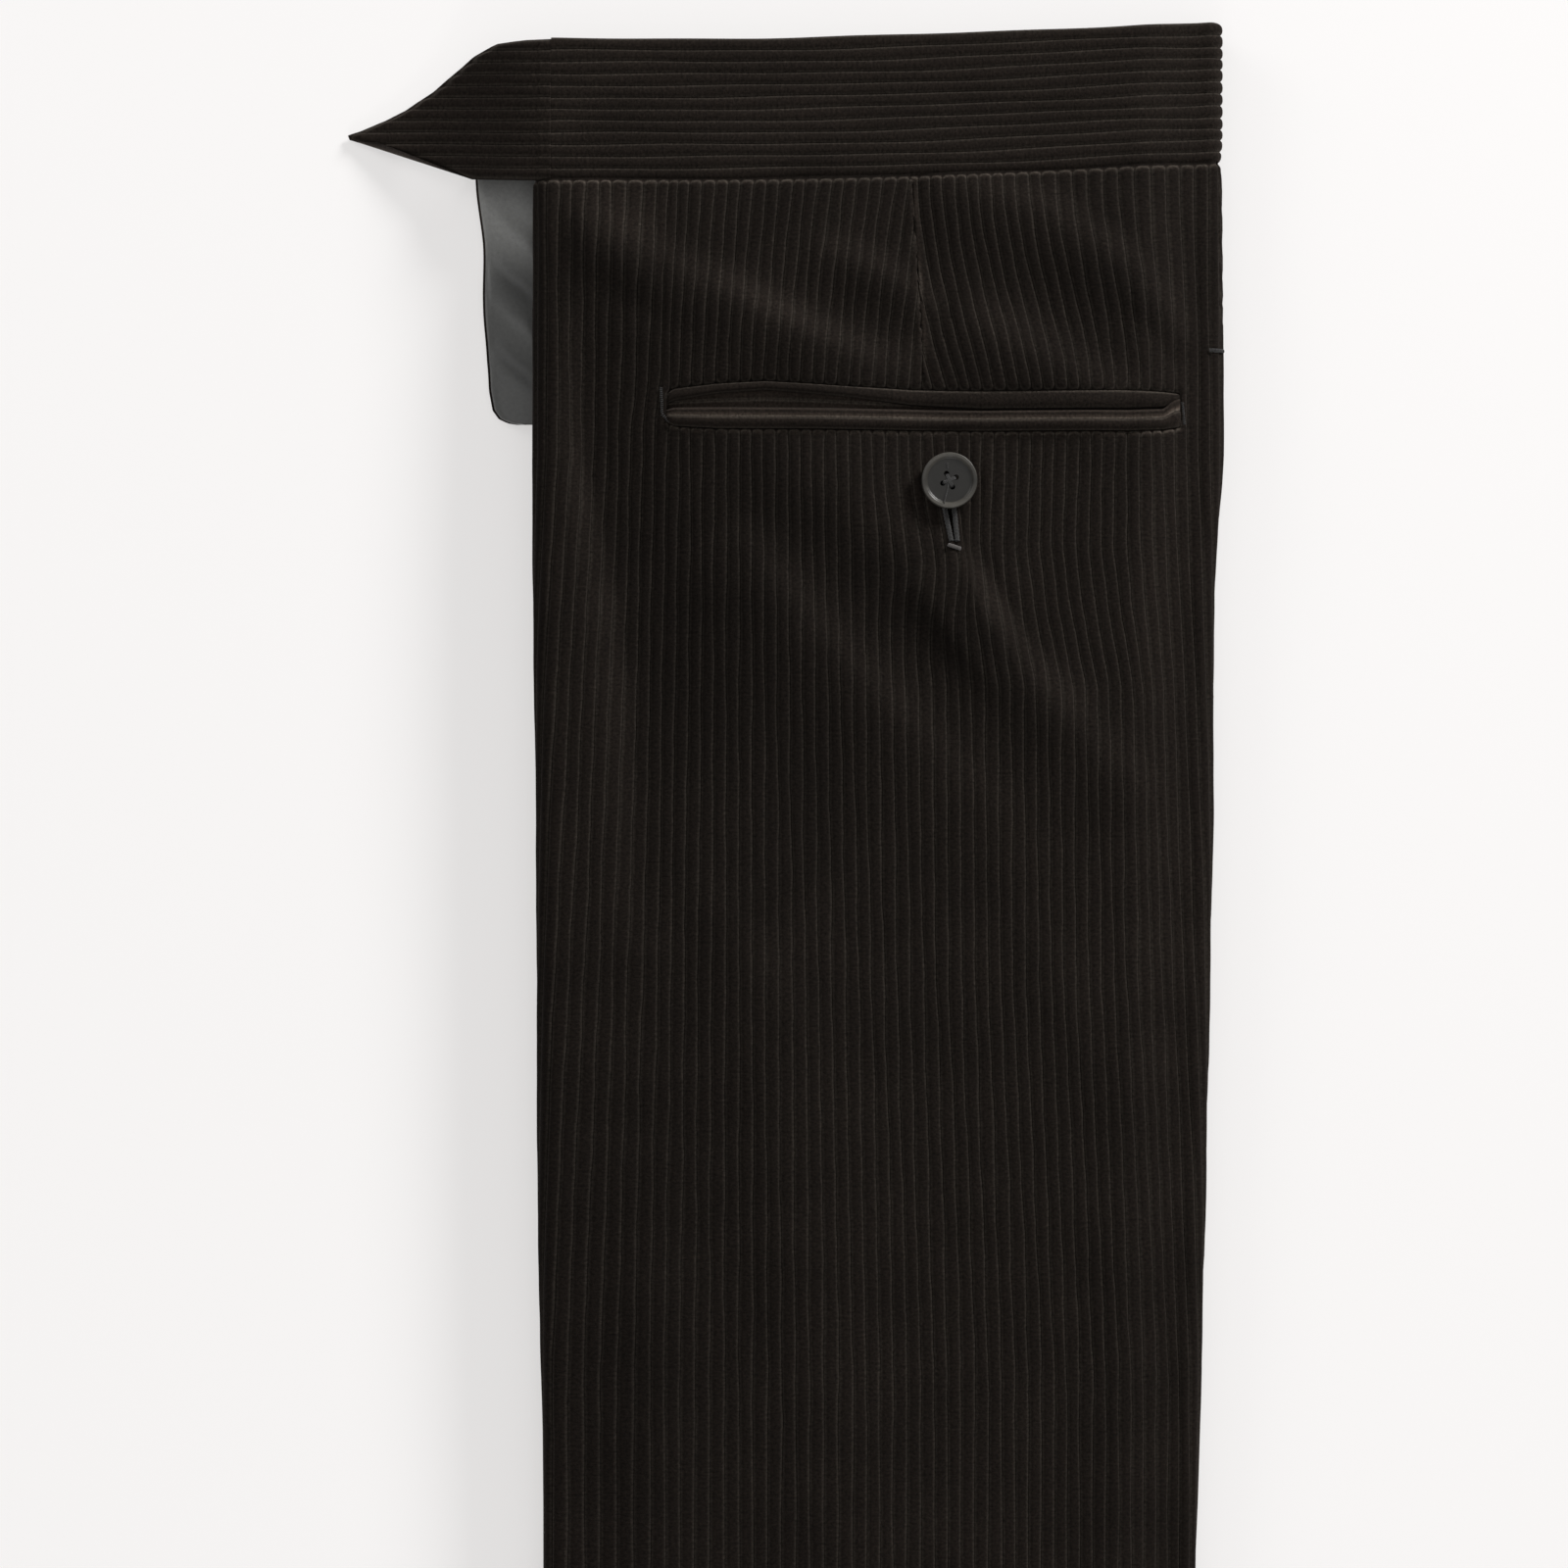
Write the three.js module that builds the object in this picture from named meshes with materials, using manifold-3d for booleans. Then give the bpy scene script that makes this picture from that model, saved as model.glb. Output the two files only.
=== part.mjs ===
// Corduroy trousers folded lengthwise and laid back side up, waistband towards +Y. Millimetres, +Z up.
import * as THREE from "three";
import { mergeVertices } from "three/addons/utils/BufferGeometryUtils.js";
import Module from "manifold-3d";

const wasm = await Module();
wasm.setup();

// Cloth and fit
const WALL = 1.7;
const RIB = 0.7;
const WALE = 3.25;
const SEAM = 0.3;
const CLEAR = 0.45;
const BAND_CLEAR = 1.0;

// Whole garment
const HALF_LENGTH = 530;
const WAISTBAND_HEIGHT = 38;
const WAISTBAND_WALL = 2.6;
const WAISTBAND_PROUD = 0.6;
const BAND_SEAM_X = -62.6;

// Rows of the cloth: close together where the folds are, wide apart down the leg
const FIRST_ROW = 478;
const FOLDED_END = 145;
const CLOSE_ROWS = 17;
const LEG_ROWS = 5;

// Columns of the cloth
const RIB_COLUMNS = 120;
const ARC_COLUMNS = 4;
const INNER_COLUMNS = 28;
const TUCK = 9;

// Side droop of the top face and the depth of the hem openings
const DROOP_WIDTH = 24;
const EDGE_FADE = 9;
const HEM_DEPTH = 34;
const HEM_GAP = 2.9;
const HEM_WALL = 1.6;

// One row for each cross-section: where the edges are, how high the top face lies, how high the line between
// the two legs lies at either edge, and how far the top face sinks towards the side seam
const SECTIONS = [
  { y: 530, left: -67.1, right: 117.9, top: 21.0, midLeft: 10.4, midRight: 8.2, droop: 4.6 },
  { y: 487, left: -67.1, right: 117.9, top: 22.0, midLeft: 10.8, midRight: 8.4, droop: 5.0 },
  { y: 414, left: -67.3, right: 118.4, top: 23.5, midLeft: 11.2, midRight: 8.6, droop: 5.4 },
  { y: 377, left: -67.1, right: 115.8, top: 23.5, midLeft: 11.2, midRight: 8.6, droop: 5.4 },
  { y: 314, left: -66.3, right: 115.6, top: 23.0, midLeft: 11.0, midRight: 8.6, droop: 5.2 },
  { y: 206, left: -65.9, right: 113.4, top: 22.0, midLeft: 10.6, midRight: 8.4, droop: 5.0 },
  { y: 145, left: -64.5, right: 111.8, top: 21.5, midLeft: 10.4, midRight: 8.2, droop: 4.8 },
  { y: -100, left: -63.5, right: 105.0, top: 18.5, midLeft: 9.0, midRight: 7.2, droop: 3.8 },
  { y: -530, left: -62.0, right: 97.0, top: 15.5, midLeft: 7.4, midRight: 6.0, droop: 2.8 },
];

// The largest folds: each runs from a over b to c, a ridge where height is above nought, else a trough
const FOLDS = [
  { ax: -63, ay: 481, bx: -16, by: 449, cx: 18, cy: 436, height: 3.6, width: 9 },
  { ax: 0, ay: 468, bx: 18, by: 457, cx: 34, cy: 448, height: 1.8, width: 6 },
  { ax: 40, ay: 478, bx: 64, by: 464, cx: 82, cy: 446, height: -2.0, width: 8 },
  { ax: 46, ay: 483, bx: 78, by: 468, cx: 104, cy: 438, height: 3.2, width: 9 },
  { ax: -40, ay: 420, bx: 0, by: 362, cx: 60, cy: 308, height: 3.6, width: 9 },
  { ax: -20, ay: 414, bx: 21, by: 364, cx: 69, cy: 320, height: -2.2, width: 7 },
  { ax: 14, ay: 406, bx: 49, by: 361, cx: 93, cy: 326, height: 3.0, width: 9 },
  { ax: -59, ay: 424, bx: -42, by: 372, cx: -3, cy: 324, height: -2.8, width: 11 },
  { ax: -56, ay: 390, bx: -54, by: 335, cx: -50, cy: 280, height: 1.6, width: 8 },
  { ax: 13, ay: 276, bx: 21, by: 232, cx: 27, cy: 182, height: 2.2, width: 14 },
  { ax: -30, ay: 70, bx: 25, by: -20, cx: 66, cy: -120, height: 1.5, width: 18 },
  { ax: -46, ay: -200, bx: 4, by: -262, cx: 60, cy: -310, height: 1.2, width: 16 },
];

// Waist dart of the right back
const DART = { topX: 34.2, topY: 487, endX: 37.6, endY: 431, shift: 6.0, reach: 26, depth: 1.2, width: 2.2 };

// Line where the waistband is sewn on: straight at the fold, rising towards the side seam
const WAIST = { y: 486.7, startX: -30, run: 148, rise: 5.3 };

// Back pocket: seam above the upper jet, the two sides of the gape, seam below the lower jet
const POCKET = [
  { x: -31.6, upper: 430.7, gapeTop: 427.6, gapeLow: 426.3, lower: 420.0 },
  { x: -5.0, upper: 432.3, gapeTop: 428.0, gapeLow: 425.9, lower: 419.6 },
  { x: 16.0, upper: 431.0, gapeTop: 426.9, gapeLow: 425.4, lower: 419.4 },
  { x: 53.0, upper: 429.7, gapeTop: 425.2, gapeLow: 424.6, lower: 419.0 },
  { x: 92.0, upper: 430.0, gapeTop: 425.4, gapeLow: 424.8, lower: 419.1 },
  { x: 106.6, upper: 429.3, gapeTop: 426.6, gapeLow: 426.0, lower: 420.0 },
];
const POCKET_LEFT = -31.6;
const POCKET_RIGHT = 106.6;
const POCKET_STATIONS = 16;
const JET_WALL = 2.2;
const FACING_WALL = 1.2;

// Pointed end of the waistband: its lower and upper outline and how it falls to the surface
const BAND_END = [
  { x: -62.9, low: 486.7, high: 524.7, top: 22.6 },
  { x: -70.0, low: 486.7, high: 524.7, top: 20.9 },
  { x: -77.0, low: 486.8, high: 524.7, top: 17.4 },
  { x: -84.0, low: 487.7, high: 524.6, top: 13.0 },
  { x: -91.6, low: 491.5, high: 523.6, top: 8.6 },
  { x: -97.4, low: 493.0, high: 508.6, top: 6.0 },
  { x: -104.5, low: 494.8, high: 502.8, top: 4.2 },
  { x: -112.0, low: 496.6, high: 500.6, top: 3.5 },
  { x: -119.2, low: 497.6, high: 498.8, top: 3.2 },
];

// Fly piece that shows beside the left fold: its outer edge, from the waistband down to its rounded end
const FLY = [
  { y: 486.2, outer: -82.4 },
  { y: 471.7, outer: -81.1 },
  { y: 456.0, outer: -80.2 },
  { y: 440.0, outer: -79.7 },
  { y: 427.0, outer: -78.8 },
  { y: 423.0, outer: -76.6 },
  { y: 421.0, outer: -73.4 },
];
const FLY_ROOT_X = -59;
const FLY_CLOTH_WALL = 1.2;
const FLY_LINING_WALL = 1.0;
const FLY_ROOT_Z = 5.4;
const FLY_EDGE_Z = 3.2;

// Button, its thread and the buttonhole
const BUTTON = { x: 44.2, y: 405.9, radius: 7.5, thick: 3.0, hole: 1.0, pitch: 1.95, turn: -0.37 };
const THREAD = 0.62;
const HOLE_SLIT = { topX: 44.3, lowX: 45.6, topY: 399.5, lowY: 389.4, topHalf: 1.6, lowHalf: 0.6 };
const BEAD = 1.1;
const SIDE_TACK = { y: 441.2, from: 1.4, to: 0.5 };

const CLOTH = { color: 0x1c1815, roughness: 0.95, metalness: 0 };
const LINING = { color: 0x4a4a48, roughness: 0.55, metalness: 0 };
const PLASTIC = { color: 0x2f2d2a, roughness: 0.45, metalness: 0 };
const STITCH = { color: 0x565450, roughness: 0.9, metalness: 0 };

// Value of a named column of a table, straight between its rows
function lookup(table, key, at, column) {
  const up = table[0][key] < table[table.length - 1][key];
  const rows = up ? table : [...table].reverse();
  if (at <= rows[0][key]) return rows[0][column];
  for (let i = 1; i < rows.length; i += 1) {
    if (at <= rows[i][key]) {
      const t = (at - rows[i - 1][key]) / (rows[i][key] - rows[i - 1][key]);
      return rows[i - 1][column] + t * (rows[i][column] - rows[i - 1][column]);
    }
  }
  return rows[rows.length - 1][column];
}

// One section: its edges and heights, and the radius and centre line of its two turned edges
function outline(y) {
  const s = { y };
  for (const column of ["left", "right", "top", "midLeft", "midRight", "droop"]) {
    s[column] = lookup(SECTIONS, "y", y, column);
  }
  s.lowLeft = s.midLeft + SEAM;
  s.lowRight = s.midRight + SEAM;
  s.rl = (s.top - s.lowLeft) / 2;
  s.rr = (s.top - s.droop - s.lowRight) / 2;
  s.leftX = s.left + s.rl;
  s.rightX = s.right - s.rr;
  return s;
}

const waistLine = (x) => WAIST.y + WAIST.rise * Math.max(0, (x - WAIST.startX) / WAIST.run) ** 2;
const smooth = (t) => THREE.MathUtils.smoothstep(t, 0, 1);

// Height that one fold adds at a point: a soft bank across its line, fading to nothing at both ends. The line
// is a smooth bend through a, b and c, taken in short straight steps
function foldHeight(fold, x, y) {
  const steps = 8;
  const at = (t) => {
    const s = 1 - t;
    const pull = (a, b, c) => s * s * a + s * t * (4 * b - a - c) + t * t * c;
    return [pull(fold.ax, fold.bx, fold.cx), pull(fold.ay, fold.by, fold.cy)];
  };
  let best = Infinity;
  let along = 0;
  let [fromX, fromY] = at(0);
  for (let i = 1; i <= steps; i += 1) {
    const [toX, toY] = at(i / steps);
    const [runX, runY] = [toX - fromX, toY - fromY];
    const part = ((x - fromX) * runX + (y - fromY) * runY) / (runX * runX + runY * runY);
    const t = THREE.MathUtils.clamp(part, 0, 1);
    const gap = Math.hypot(x - fromX - t * runX, y - fromY - t * runY);
    if (gap < best) {
      best = gap;
      along = (i - 1 + t) / steps;
    }
    [fromX, fromY] = [toX, toY];
  }
  return fold.height * Math.exp(-((best / fold.width) ** 2)) * Math.max(0, Math.sin(Math.PI * along)) ** 0.6;
}

// The dart: a narrow crease from the waistband to the pocket
function dartX(y) {
  const t = (DART.topY - y) / (DART.topY - DART.endY);
  return DART.topX + t * (DART.endX - DART.topX);
}

function dartStrength(y) {
  return THREE.MathUtils.clamp((y - DART.endY) / (DART.topY - DART.endY), 0, 1);
}

// Height of the top face of the bundle, at the foot of its ribs
function topHeight(x, y) {
  const s = outline(y);
  const side = smooth((x - s.right + DROOP_WIDTH) / (DROOP_WIDTH - s.rr));
  const fade = smooth((x - s.leftX) / EDGE_FADE) * smooth((s.rightX - x) / EDGE_FADE);
  const waist = smooth((492 - y) / 10);
  let z = s.top - s.droop * side;
  if (fade > 0 && waist > 0) {
    for (const fold of FOLDS) z += fade * waist * foldHeight(fold, x, y);
  }
  const dart = Math.exp(-(((x - dartX(y)) / DART.width) ** 2)) * Math.min(1, 3 * dartStrength(y));
  return z - DART.depth * dart * waist;
}

// Point and outward normal on the top face
function onTop(x, y) {
  const step = 0.4;
  const slope = (topHeight(x + step, y) - topHeight(x - step, y)) / (2 * step);
  const length = Math.hypot(1, slope);
  return { x, z: topHeight(x, y), nx: -slope / length, nz: 1 / length };
}

function onArc(cx, cz, radius, angle) {
  const nx = Math.cos(angle);
  const nz = Math.sin(angle);
  return { x: cx + radius * nx, z: cz + radius * nz, nx, nz };
}

// The wales lean in towards the dart above the pocket
function leanToDart(x, y) {
  const gap = x - dartX(y);
  const pull = smooth(Math.abs(gap) / DART.reach) * smooth((110 - Math.abs(gap)) / 84);
  return x - Math.sign(gap) * DART.shift * dartStrength(y) * pull;
}

// Points of the right back at one row: ribbed outside, plain inside
function backRing(y, edgeY) {
  const o = outline(y);
  const leftTurn = Math.PI * o.rl;
  const topRun = o.rightX - o.leftX;
  const rightTurn = (Math.PI / 2) * o.rr - SEAM / 2;
  const total = leftTurn + topRun + rightTurn;
  const at = (length) => {
    if (length < leftTurn) {
      return onArc(o.leftX, o.lowLeft + o.rl, o.rl, -Math.PI / 2 - length / o.rl);
    }
    if (length < leftTurn + topRun) return onTop(leanToDart(o.leftX + length - leftTurn, y), y);
    return onArc(o.rightX, o.lowRight + o.rr, o.rr, Math.PI / 2 - (length - leftTurn - topRun) / o.rr);
  };
  const ring = [];
  const put = (p, out) => {
    ring.push([p.x + out * p.nx, edgeY(p.x), p.z + out * p.nz]);
  };
  const tuckEnd = { x: o.leftX + TUCK, z: o.lowLeft, nx: 0, nz: -1 };
  put(tuckEnd, 0);
  for (let i = 0; i <= RIB_COLUMNS; i += 1) put(at((total * i) / RIB_COLUMNS), i % 2 ? RIB : 0);
  for (let i = 0; i <= ARC_COLUMNS / 2; i += 1) {
    put(at(total - (rightTurn * i) / (ARC_COLUMNS / 2)), -WALL);
  }
  for (const x of innerColumns(o).reverse()) put(onTop(x, y), -WALL);
  for (let i = 1; i <= ARC_COLUMNS; i += 1) put(at(leftTurn * (1 - i / ARC_COLUMNS)), -WALL);
  put(tuckEnd, -WALL);
  return ring;
}

// Places of the plain columns between the two turned edges
function innerColumns(o) {
  const list = [];
  for (let i = 0; i < INNER_COLUMNS; i += 1) {
    list.push(o.leftX + ((o.rightX - o.leftX) * (i + 0.02)) / (INNER_COLUMNS - 0.96));
  }
  return list;
}

// Points of the right front at one row, from the side seam round the right edge into its tuck
function frontRing(y, edgeY) {
  const o = outline(y);
  const columns = 12;
  const turn = Math.PI / 2;
  const start = -SEAM / 2 / o.rr;
  const at = (t) => onArc(o.rightX, o.lowRight + o.rr, o.rr, start - (turn + start) * t);
  const ring = [];
  const put = (p, out) => {
    ring.push([p.x + out * p.nx, edgeY(p.x), p.z + out * p.nz]);
  };
  const tuckEnd = { x: o.rightX - TUCK, z: o.lowRight, nx: 0, nz: -1 };
  for (let i = 0; i <= columns / 2; i += 1) put(at(i / (columns / 2)), i % 2 ? RIB * 0.6 : 0);
  put(tuckEnd, 0);
  put(tuckEnd, -WALL);
  for (let i = 3; i >= 0; i -= 1) put(at(i / 3), -WALL);
  return ring;
}

// Outline of the hidden layers at one row: flat below, two soft layers at each edge of the lower leg, a slot
// for each tucked edge, and a top that follows the right back from inside
function layersRing(y, edgeY, topGap, clear) {
  const o = outline(y);
  const ring = [];
  const put = (x, z) => ring.push([x, edgeY(x), z]);
  const inner = (radius) => Math.max(radius - WALL - clear - 0.4 * topGap, 0.3);
  const layers = (edge, side, low, high) => {
    const depth = 2.2;
    for (let i = 0; i <= 6; i += 1) {
      const angle = -Math.PI / 2 + (Math.PI * i) / 6;
      const rib = i % 2 ? 0 : -0.3;
      const x = edge + side * (depth * (Math.cos(angle) - 1) + rib);
      put(x, low + ((high - low) * (Math.sin(angle) + 1)) / 2);
    }
  };
  const lowerRight = o.lowRight - clear;
  const lowerLeft = o.lowLeft - clear;
  put(-20, 0);
  put(40, 0);
  layers(o.right - 1, 1, 0, lowerRight / 2 - 0.1);
  layers(o.right - 0.4, 1, lowerRight / 2 + 0.1, lowerRight);
  const floor = (x) => {
    const t = THREE.MathUtils.clamp((x - o.left - 20) / (o.right - o.left - 40), 0, 1);
    return o.lowLeft + t * (o.lowRight - o.lowLeft) + WALL + clear;
  };
  const keep = 1 - topGap / (o.top - WALL - clear - floor(o.left));
  const putUpper = (x, z) => put(x, floor(x) + (z - floor(x)) * keep);
  put(o.rightX - TUCK - clear, lowerRight);
  put(o.rightX - TUCK - clear, floor(o.right));
  for (let i = 1; i <= 4; i += 1) {
    const p = onArc(o.rightX, o.lowRight + o.rr, inner(o.rr), -Math.PI / 2 + (Math.PI * i) / 4);
    putUpper(p.x, p.z);
  }
  for (const x of innerColumns(o).reverse()) {
    const p = onTop(x, y);
    putUpper(p.x - (WALL + clear) * p.nx, p.z - (WALL + clear) * p.nz);
  }
  for (let i = 0; i <= 3; i += 1) {
    const p = onArc(o.leftX, o.lowLeft + o.rl, inner(o.rl), Math.PI / 2 + (Math.PI * i) / 4);
    putUpper(p.x, p.z);
  }
  put(o.leftX + TUCK + clear, floor(o.left));
  put(o.leftX + TUCK + clear, lowerLeft);
  const leftSide = ring.length;
  layers(o.left + 0.2, -1, 0, lowerLeft / 2 - 0.1);
  layers(o.left + 0.6, -1, lowerLeft / 2 + 0.1, lowerLeft);
  ring.push(...ring.splice(leftSide).reverse());
  return ring;
}

// Faces of a ring that closes a wall: its outside is the first points, its inside the rest, and each face
// joins the two by the shorter way
function wallFaces(ring, outside) {
  const gap = (a, b) => Math.hypot(...ring[a].map((v, k) => v - ring[b][k]));
  const faces = [];
  let a = 0;
  let b = ring.length - 1;
  while (a < outside - 1 || b > outside) {
    const step = b === outside || (a < outside - 1 && gap(a + 1, b) < gap(a, b - 1));
    faces.push(step ? [a, a + 1, b] : [a, b - 1, b]);
    if (step) a += 1;
    else b -= 1;
  }
  return faces;
}

// Faces of a ring that closes a full body, seen along one axis
function bodyFaces(ring, project) {
  const flat = ring.map((p) => new THREE.Vector2(...project(p)));
  if (!THREE.ShapeUtils.isClockWise(flat)) return THREE.ShapeUtils.triangulateShape(flat, []);
  const last = ring.length - 1;
  return THREE.ShapeUtils.triangulateShape(flat.reverse(), []).map(([a, b, c]) => [last - c, last - b, last - a]);
}

// Closed solid through rings of the same number of points
function loft(rings, closing) {
  const count = rings[0].length;
  const index = [];
  for (let r = 0; r + 1 < rings.length; r += 1) {
    for (let i = 0; i < count; i += 1) {
      const j = (i + 1) % count;
      const a = r * count + i;
      const b = r * count + j;
      index.push(a, b, b + count, a, b + count, a + count);
    }
  }
  const faces = (ring) => (typeof closing === "number" ? wallFaces(ring, closing) : bodyFaces(ring, closing));
  const end = (rings.length - 1) * count;
  for (const [a, b, c] of faces(rings[0])) index.push(a, c, b);
  for (const [a, b, c] of faces(rings.at(-1))) index.push(end + a, end + b, end + c);
  const geometry = new THREE.BufferGeometry();
  geometry.setAttribute("position", new THREE.Float32BufferAttribute(rings.flat(2), 3));
  geometry.setIndex(index);
  return outward(geometry);
}

// Turns the faces outward when the solid came out inside out
function outward(geometry) {
  const p = geometry.attributes.position;
  const index = geometry.index.array;
  const v = [new THREE.Vector3(), new THREE.Vector3(), new THREE.Vector3()];
  let volume = 0;
  for (let i = 0; i < index.length; i += 3) {
    v.forEach((corner, k) => corner.fromBufferAttribute(p, index[i + k]));
    volume += v[0].dot(v[1].clone().cross(v[2]));
  }
  if (volume < 0) {
    const turned = Array.from(index);
    for (let i = 0; i < turned.length; i += 3) [turned[i + 1], turned[i + 2]] = [turned[i + 2], turned[i + 1]];
    geometry.setIndex(turned);
  }
  return geometry;
}

// Booleans
function toManifold(geometry) {
  const bare = geometry.clone();
  bare.deleteAttribute("normal");
  bare.deleteAttribute("uv");
  const merged = mergeVertices(bare, 1e-4);
  const mesh = new wasm.Mesh({
    numProp: 3,
    vertProperties: new Float32Array(merged.attributes.position.array),
    triVerts: new Uint32Array(merged.index.array),
  });
  return new wasm.Manifold(mesh);
}

function fromManifold(solid) {
  const mesh = solid.getMesh();
  const geometry = new THREE.BufferGeometry();
  geometry.setAttribute("position", new THREE.Float32BufferAttribute(mesh.vertProperties, 3));
  geometry.setIndex(Array.from(mesh.triVerts));
  return geometry;
}

function cut(geometry, ...tools) {
  return fromManifold(tools.reduce((left, tool) => left.subtract(toManifold(tool)), toManifold(geometry)));
}

function join(...shapes) {
  return fromManifold(shapes.map(toManifold).reduce((all, shape) => all.add(shape)));
}

const acrossLeg = (p) => [p[0], p[2]];
const alongLeg = (p) => [p[1], p[2]];

// The rows from the waistband seam to the hem, each with its place and its edge
function clothRows() {
  const rows = [{ y: 486, edgeY: (x) => waistLine(x) - SEAM }];
  for (let i = 0; i <= CLOSE_ROWS; i += 1) {
    rows.push({ y: FIRST_ROW + ((FOLDED_END - FIRST_ROW) * i) / CLOSE_ROWS });
  }
  for (let i = 1; i <= LEG_ROWS; i += 1) {
    rows.push({ y: FOLDED_END - ((FOLDED_END + HALF_LENGTH - HEM_DEPTH) * i) / LEG_ROWS });
  }
  rows.push({ y: -HALF_LENGTH });
  return rows.map((row) => ({ ...row, edgeY: row.edgeY ?? (() => row.y) }));
}

// A strip along X: at each station a ring across it, from its low to its high edge, with its underside below
function strip(stations, ringAt) {
  return loft(stations.map(ringAt), alongLeg);
}

function evenly(from, to, steps) {
  return Array.from({ length: steps + 1 }, (_, i) => from + ((to - from) * i) / steps);
}

// Rounded bead between two lines: its underside, edges and crown lie so far above the top face
function beadRing(x, low, high, under, edge, crown) {
  const foot = topHeight(x, (low + high) / 2);
  const ring = [];
  for (let i = 0; i <= 6; i += 1) {
    const angle = Math.PI * (1 - i / 6);
    const rise = (crown - edge) * Math.max(0, Math.sin(angle)) ** 0.7;
    ring.push([x, (low + high) / 2 + ((high - low) / 2) * Math.cos(angle), foot + edge + rise]);
  }
  ring.push([x, high, foot + under], [x, low, foot + under]);
  return ring;
}

// Slab between two lines of the pocket table
function pocketSlab(from, to, lowColumn, highColumn, lowMove, highMove, rise, sink) {
  return strip(evenly(from, to, POCKET_STATIONS), (x) => {
    const low = lookup(POCKET, "x", x, lowColumn) + lowMove;
    const high = lookup(POCKET, "x", x, highColumn) + highMove;
    const z = topHeight(x, (low + high) / 2);
    return [[x, low, z - sink], [x, high, z - sink], [x, high, z + rise], [x, low, z + rise]];
  });
}

function pocketJet(lowColumn, highColumn, rise) {
  return strip(evenly(POCKET_LEFT + SEAM, POCKET_RIGHT - SEAM, POCKET_STATIONS), (x) => {
    const low = lookup(POCKET, "x", x, lowColumn) + (lowColumn === "lower" ? SEAM : 0);
    const high = lookup(POCKET, "x", x, highColumn) - (highColumn === "upper" ? SEAM : 0);
    return beadRing(x, low, high, rise - JET_WALL, 0, rise);
  });
}

// Slit of the buttonhole, wide under the button and closed at its lower end
function slitBlock(grow, rise, sink) {
  const { topX, lowX, topY, lowY, topHalf, lowHalf } = HOLE_SLIT;
  const corners = [
    [topX - topHalf - grow, topY + grow],
    [topX + topHalf + grow, topY + grow],
    [lowX + lowHalf + grow, lowY - grow],
    [lowX - lowHalf - grow, lowY - grow],
  ];
  const level = (height) => corners.map(([x, y]) => [x, y, topHeight(x, y) + height]);
  return loft([level(-sink), level(rise)], (p) => [p[0], p[1]]);
}

function backRight() {
  const whole = loft(clothRows().map((row) => backRing(row.y, row.edgeY)), RIB_COLUMNS + 2);
  const mouth = pocketSlab(POCKET_LEFT, POCKET_RIGHT, "lower", "upper", 0, 0, 4, 5);
  return cut(whole, mouth, slitBlock(0, 4, 5));
}

function frontRight() {
  return loft(clothRows().map((row) => frontRing(row.y, row.edgeY)), acrossLeg);
}

// Box for a boolean, given by its corners
function block(x0, x1, y0, y1, z0, z1) {
  const box = new THREE.BoxGeometry(x1 - x0, y1 - y0, z1 - z0);
  box.translate((x0 + x1) / 2, (y0 + y1) / 2, (z0 + z1) / 2);
  return box;
}

function foldedLayers() {
  const rows = clothRows();
  rows[0].edgeY = () => WAIST.y - 0.4;
  const gap = (row) => (row.y < -HALF_LENGTH + HEM_DEPTH + 1 ? HEM_GAP : 0);
  const whole = loft(rows.map((row) => layersRing(row.y, row.edgeY, gap(row), CLEAR)), acrossLeg);
  const room = JET_WALL + FACING_WALL;
  const pocketRoom = pocketSlab(POCKET_LEFT - 5, POCKET_RIGHT - 1, "lower", "upper", -5, 5, 9, room + 0.9);
  const hem = outline(-HALF_LENGTH);
  const opening = block(hem.left + 10, hem.right - 10, -HALF_LENGTH - 1, -HALF_LENGTH + HEM_DEPTH,
    hem.midRight / 2 - 1.5, hem.midRight / 2 + 1.6);
  const flySlot = block(FLY_ROOT_X - 12, FLY_ROOT_X + SEAM, 420.4, 489,
    FLY_EDGE_Z, FLY_EDGE_Z + 3.7);
  return cut(whole, pocketRoom, opening, flySlot);
}

// Waistband of the right back: its wales run along it, over the top and round the side edge into a tuck
function waistbandBack() {
  const y = 500;
  const o = outline(y);
  const path = evenly(BAND_SEAM_X, o.rightX, 18).map((x) => onTop(x, y));
  const centre = o.lowRight + o.rr;
  for (let i = 1; i <= 6; i += 1) {
    path.push(onArc(o.rightX, centre, o.rr, Math.PI / 2 - (Math.PI * i) / 6));
  }
  path.push({ x: o.rightX - TUCK, z: o.lowRight, nx: 0, nz: -1 });
  const ribs = 24;
  const rings = path.map((p) => {
    const low = waistLine(p.x);
    const put = (t, out) => [p.x + out * p.nx, low + WAISTBAND_HEIGHT * t, p.z + out * p.nz];
    const ring = [];
    for (let i = 0; i <= ribs; i += 1) {
      ring.push(put(i / ribs, WAISTBAND_PROUD - (i % 2 ? 0 : RIB * 0.8)));
    }
    ring.push(put(1, WAISTBAND_PROUD - WAISTBAND_WALL), put(0, WAISTBAND_PROUD - WAISTBAND_WALL));
    return ring;
  });
  return loftAlong(rings);
}

// Loft whose end rings face along their own path
function loftAlong(rings) {
  return loft(rings, (p) => [p[1], p[2]]);
}

function waistbandEnd() {
  const ribs = 24;
  const rings = BAND_END.map((row) => {
    const thick = Math.min(WAISTBAND_WALL, row.top - 0.4);
    const ring = [];
    for (let i = 0; i <= ribs; i += 1) {
      const rib = i % 2 ? 0 : Math.min(RIB * 0.8, (row.high - row.low) / 20);
      ring.push([row.x, row.low + ((row.high - row.low) * i) / ribs, row.top - rib]);
    }
    ring.push([row.x, row.high, row.top - thick], [row.x, row.low, row.top - thick]);
    return ring;
  });
  return loftAlong(rings);
}

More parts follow.
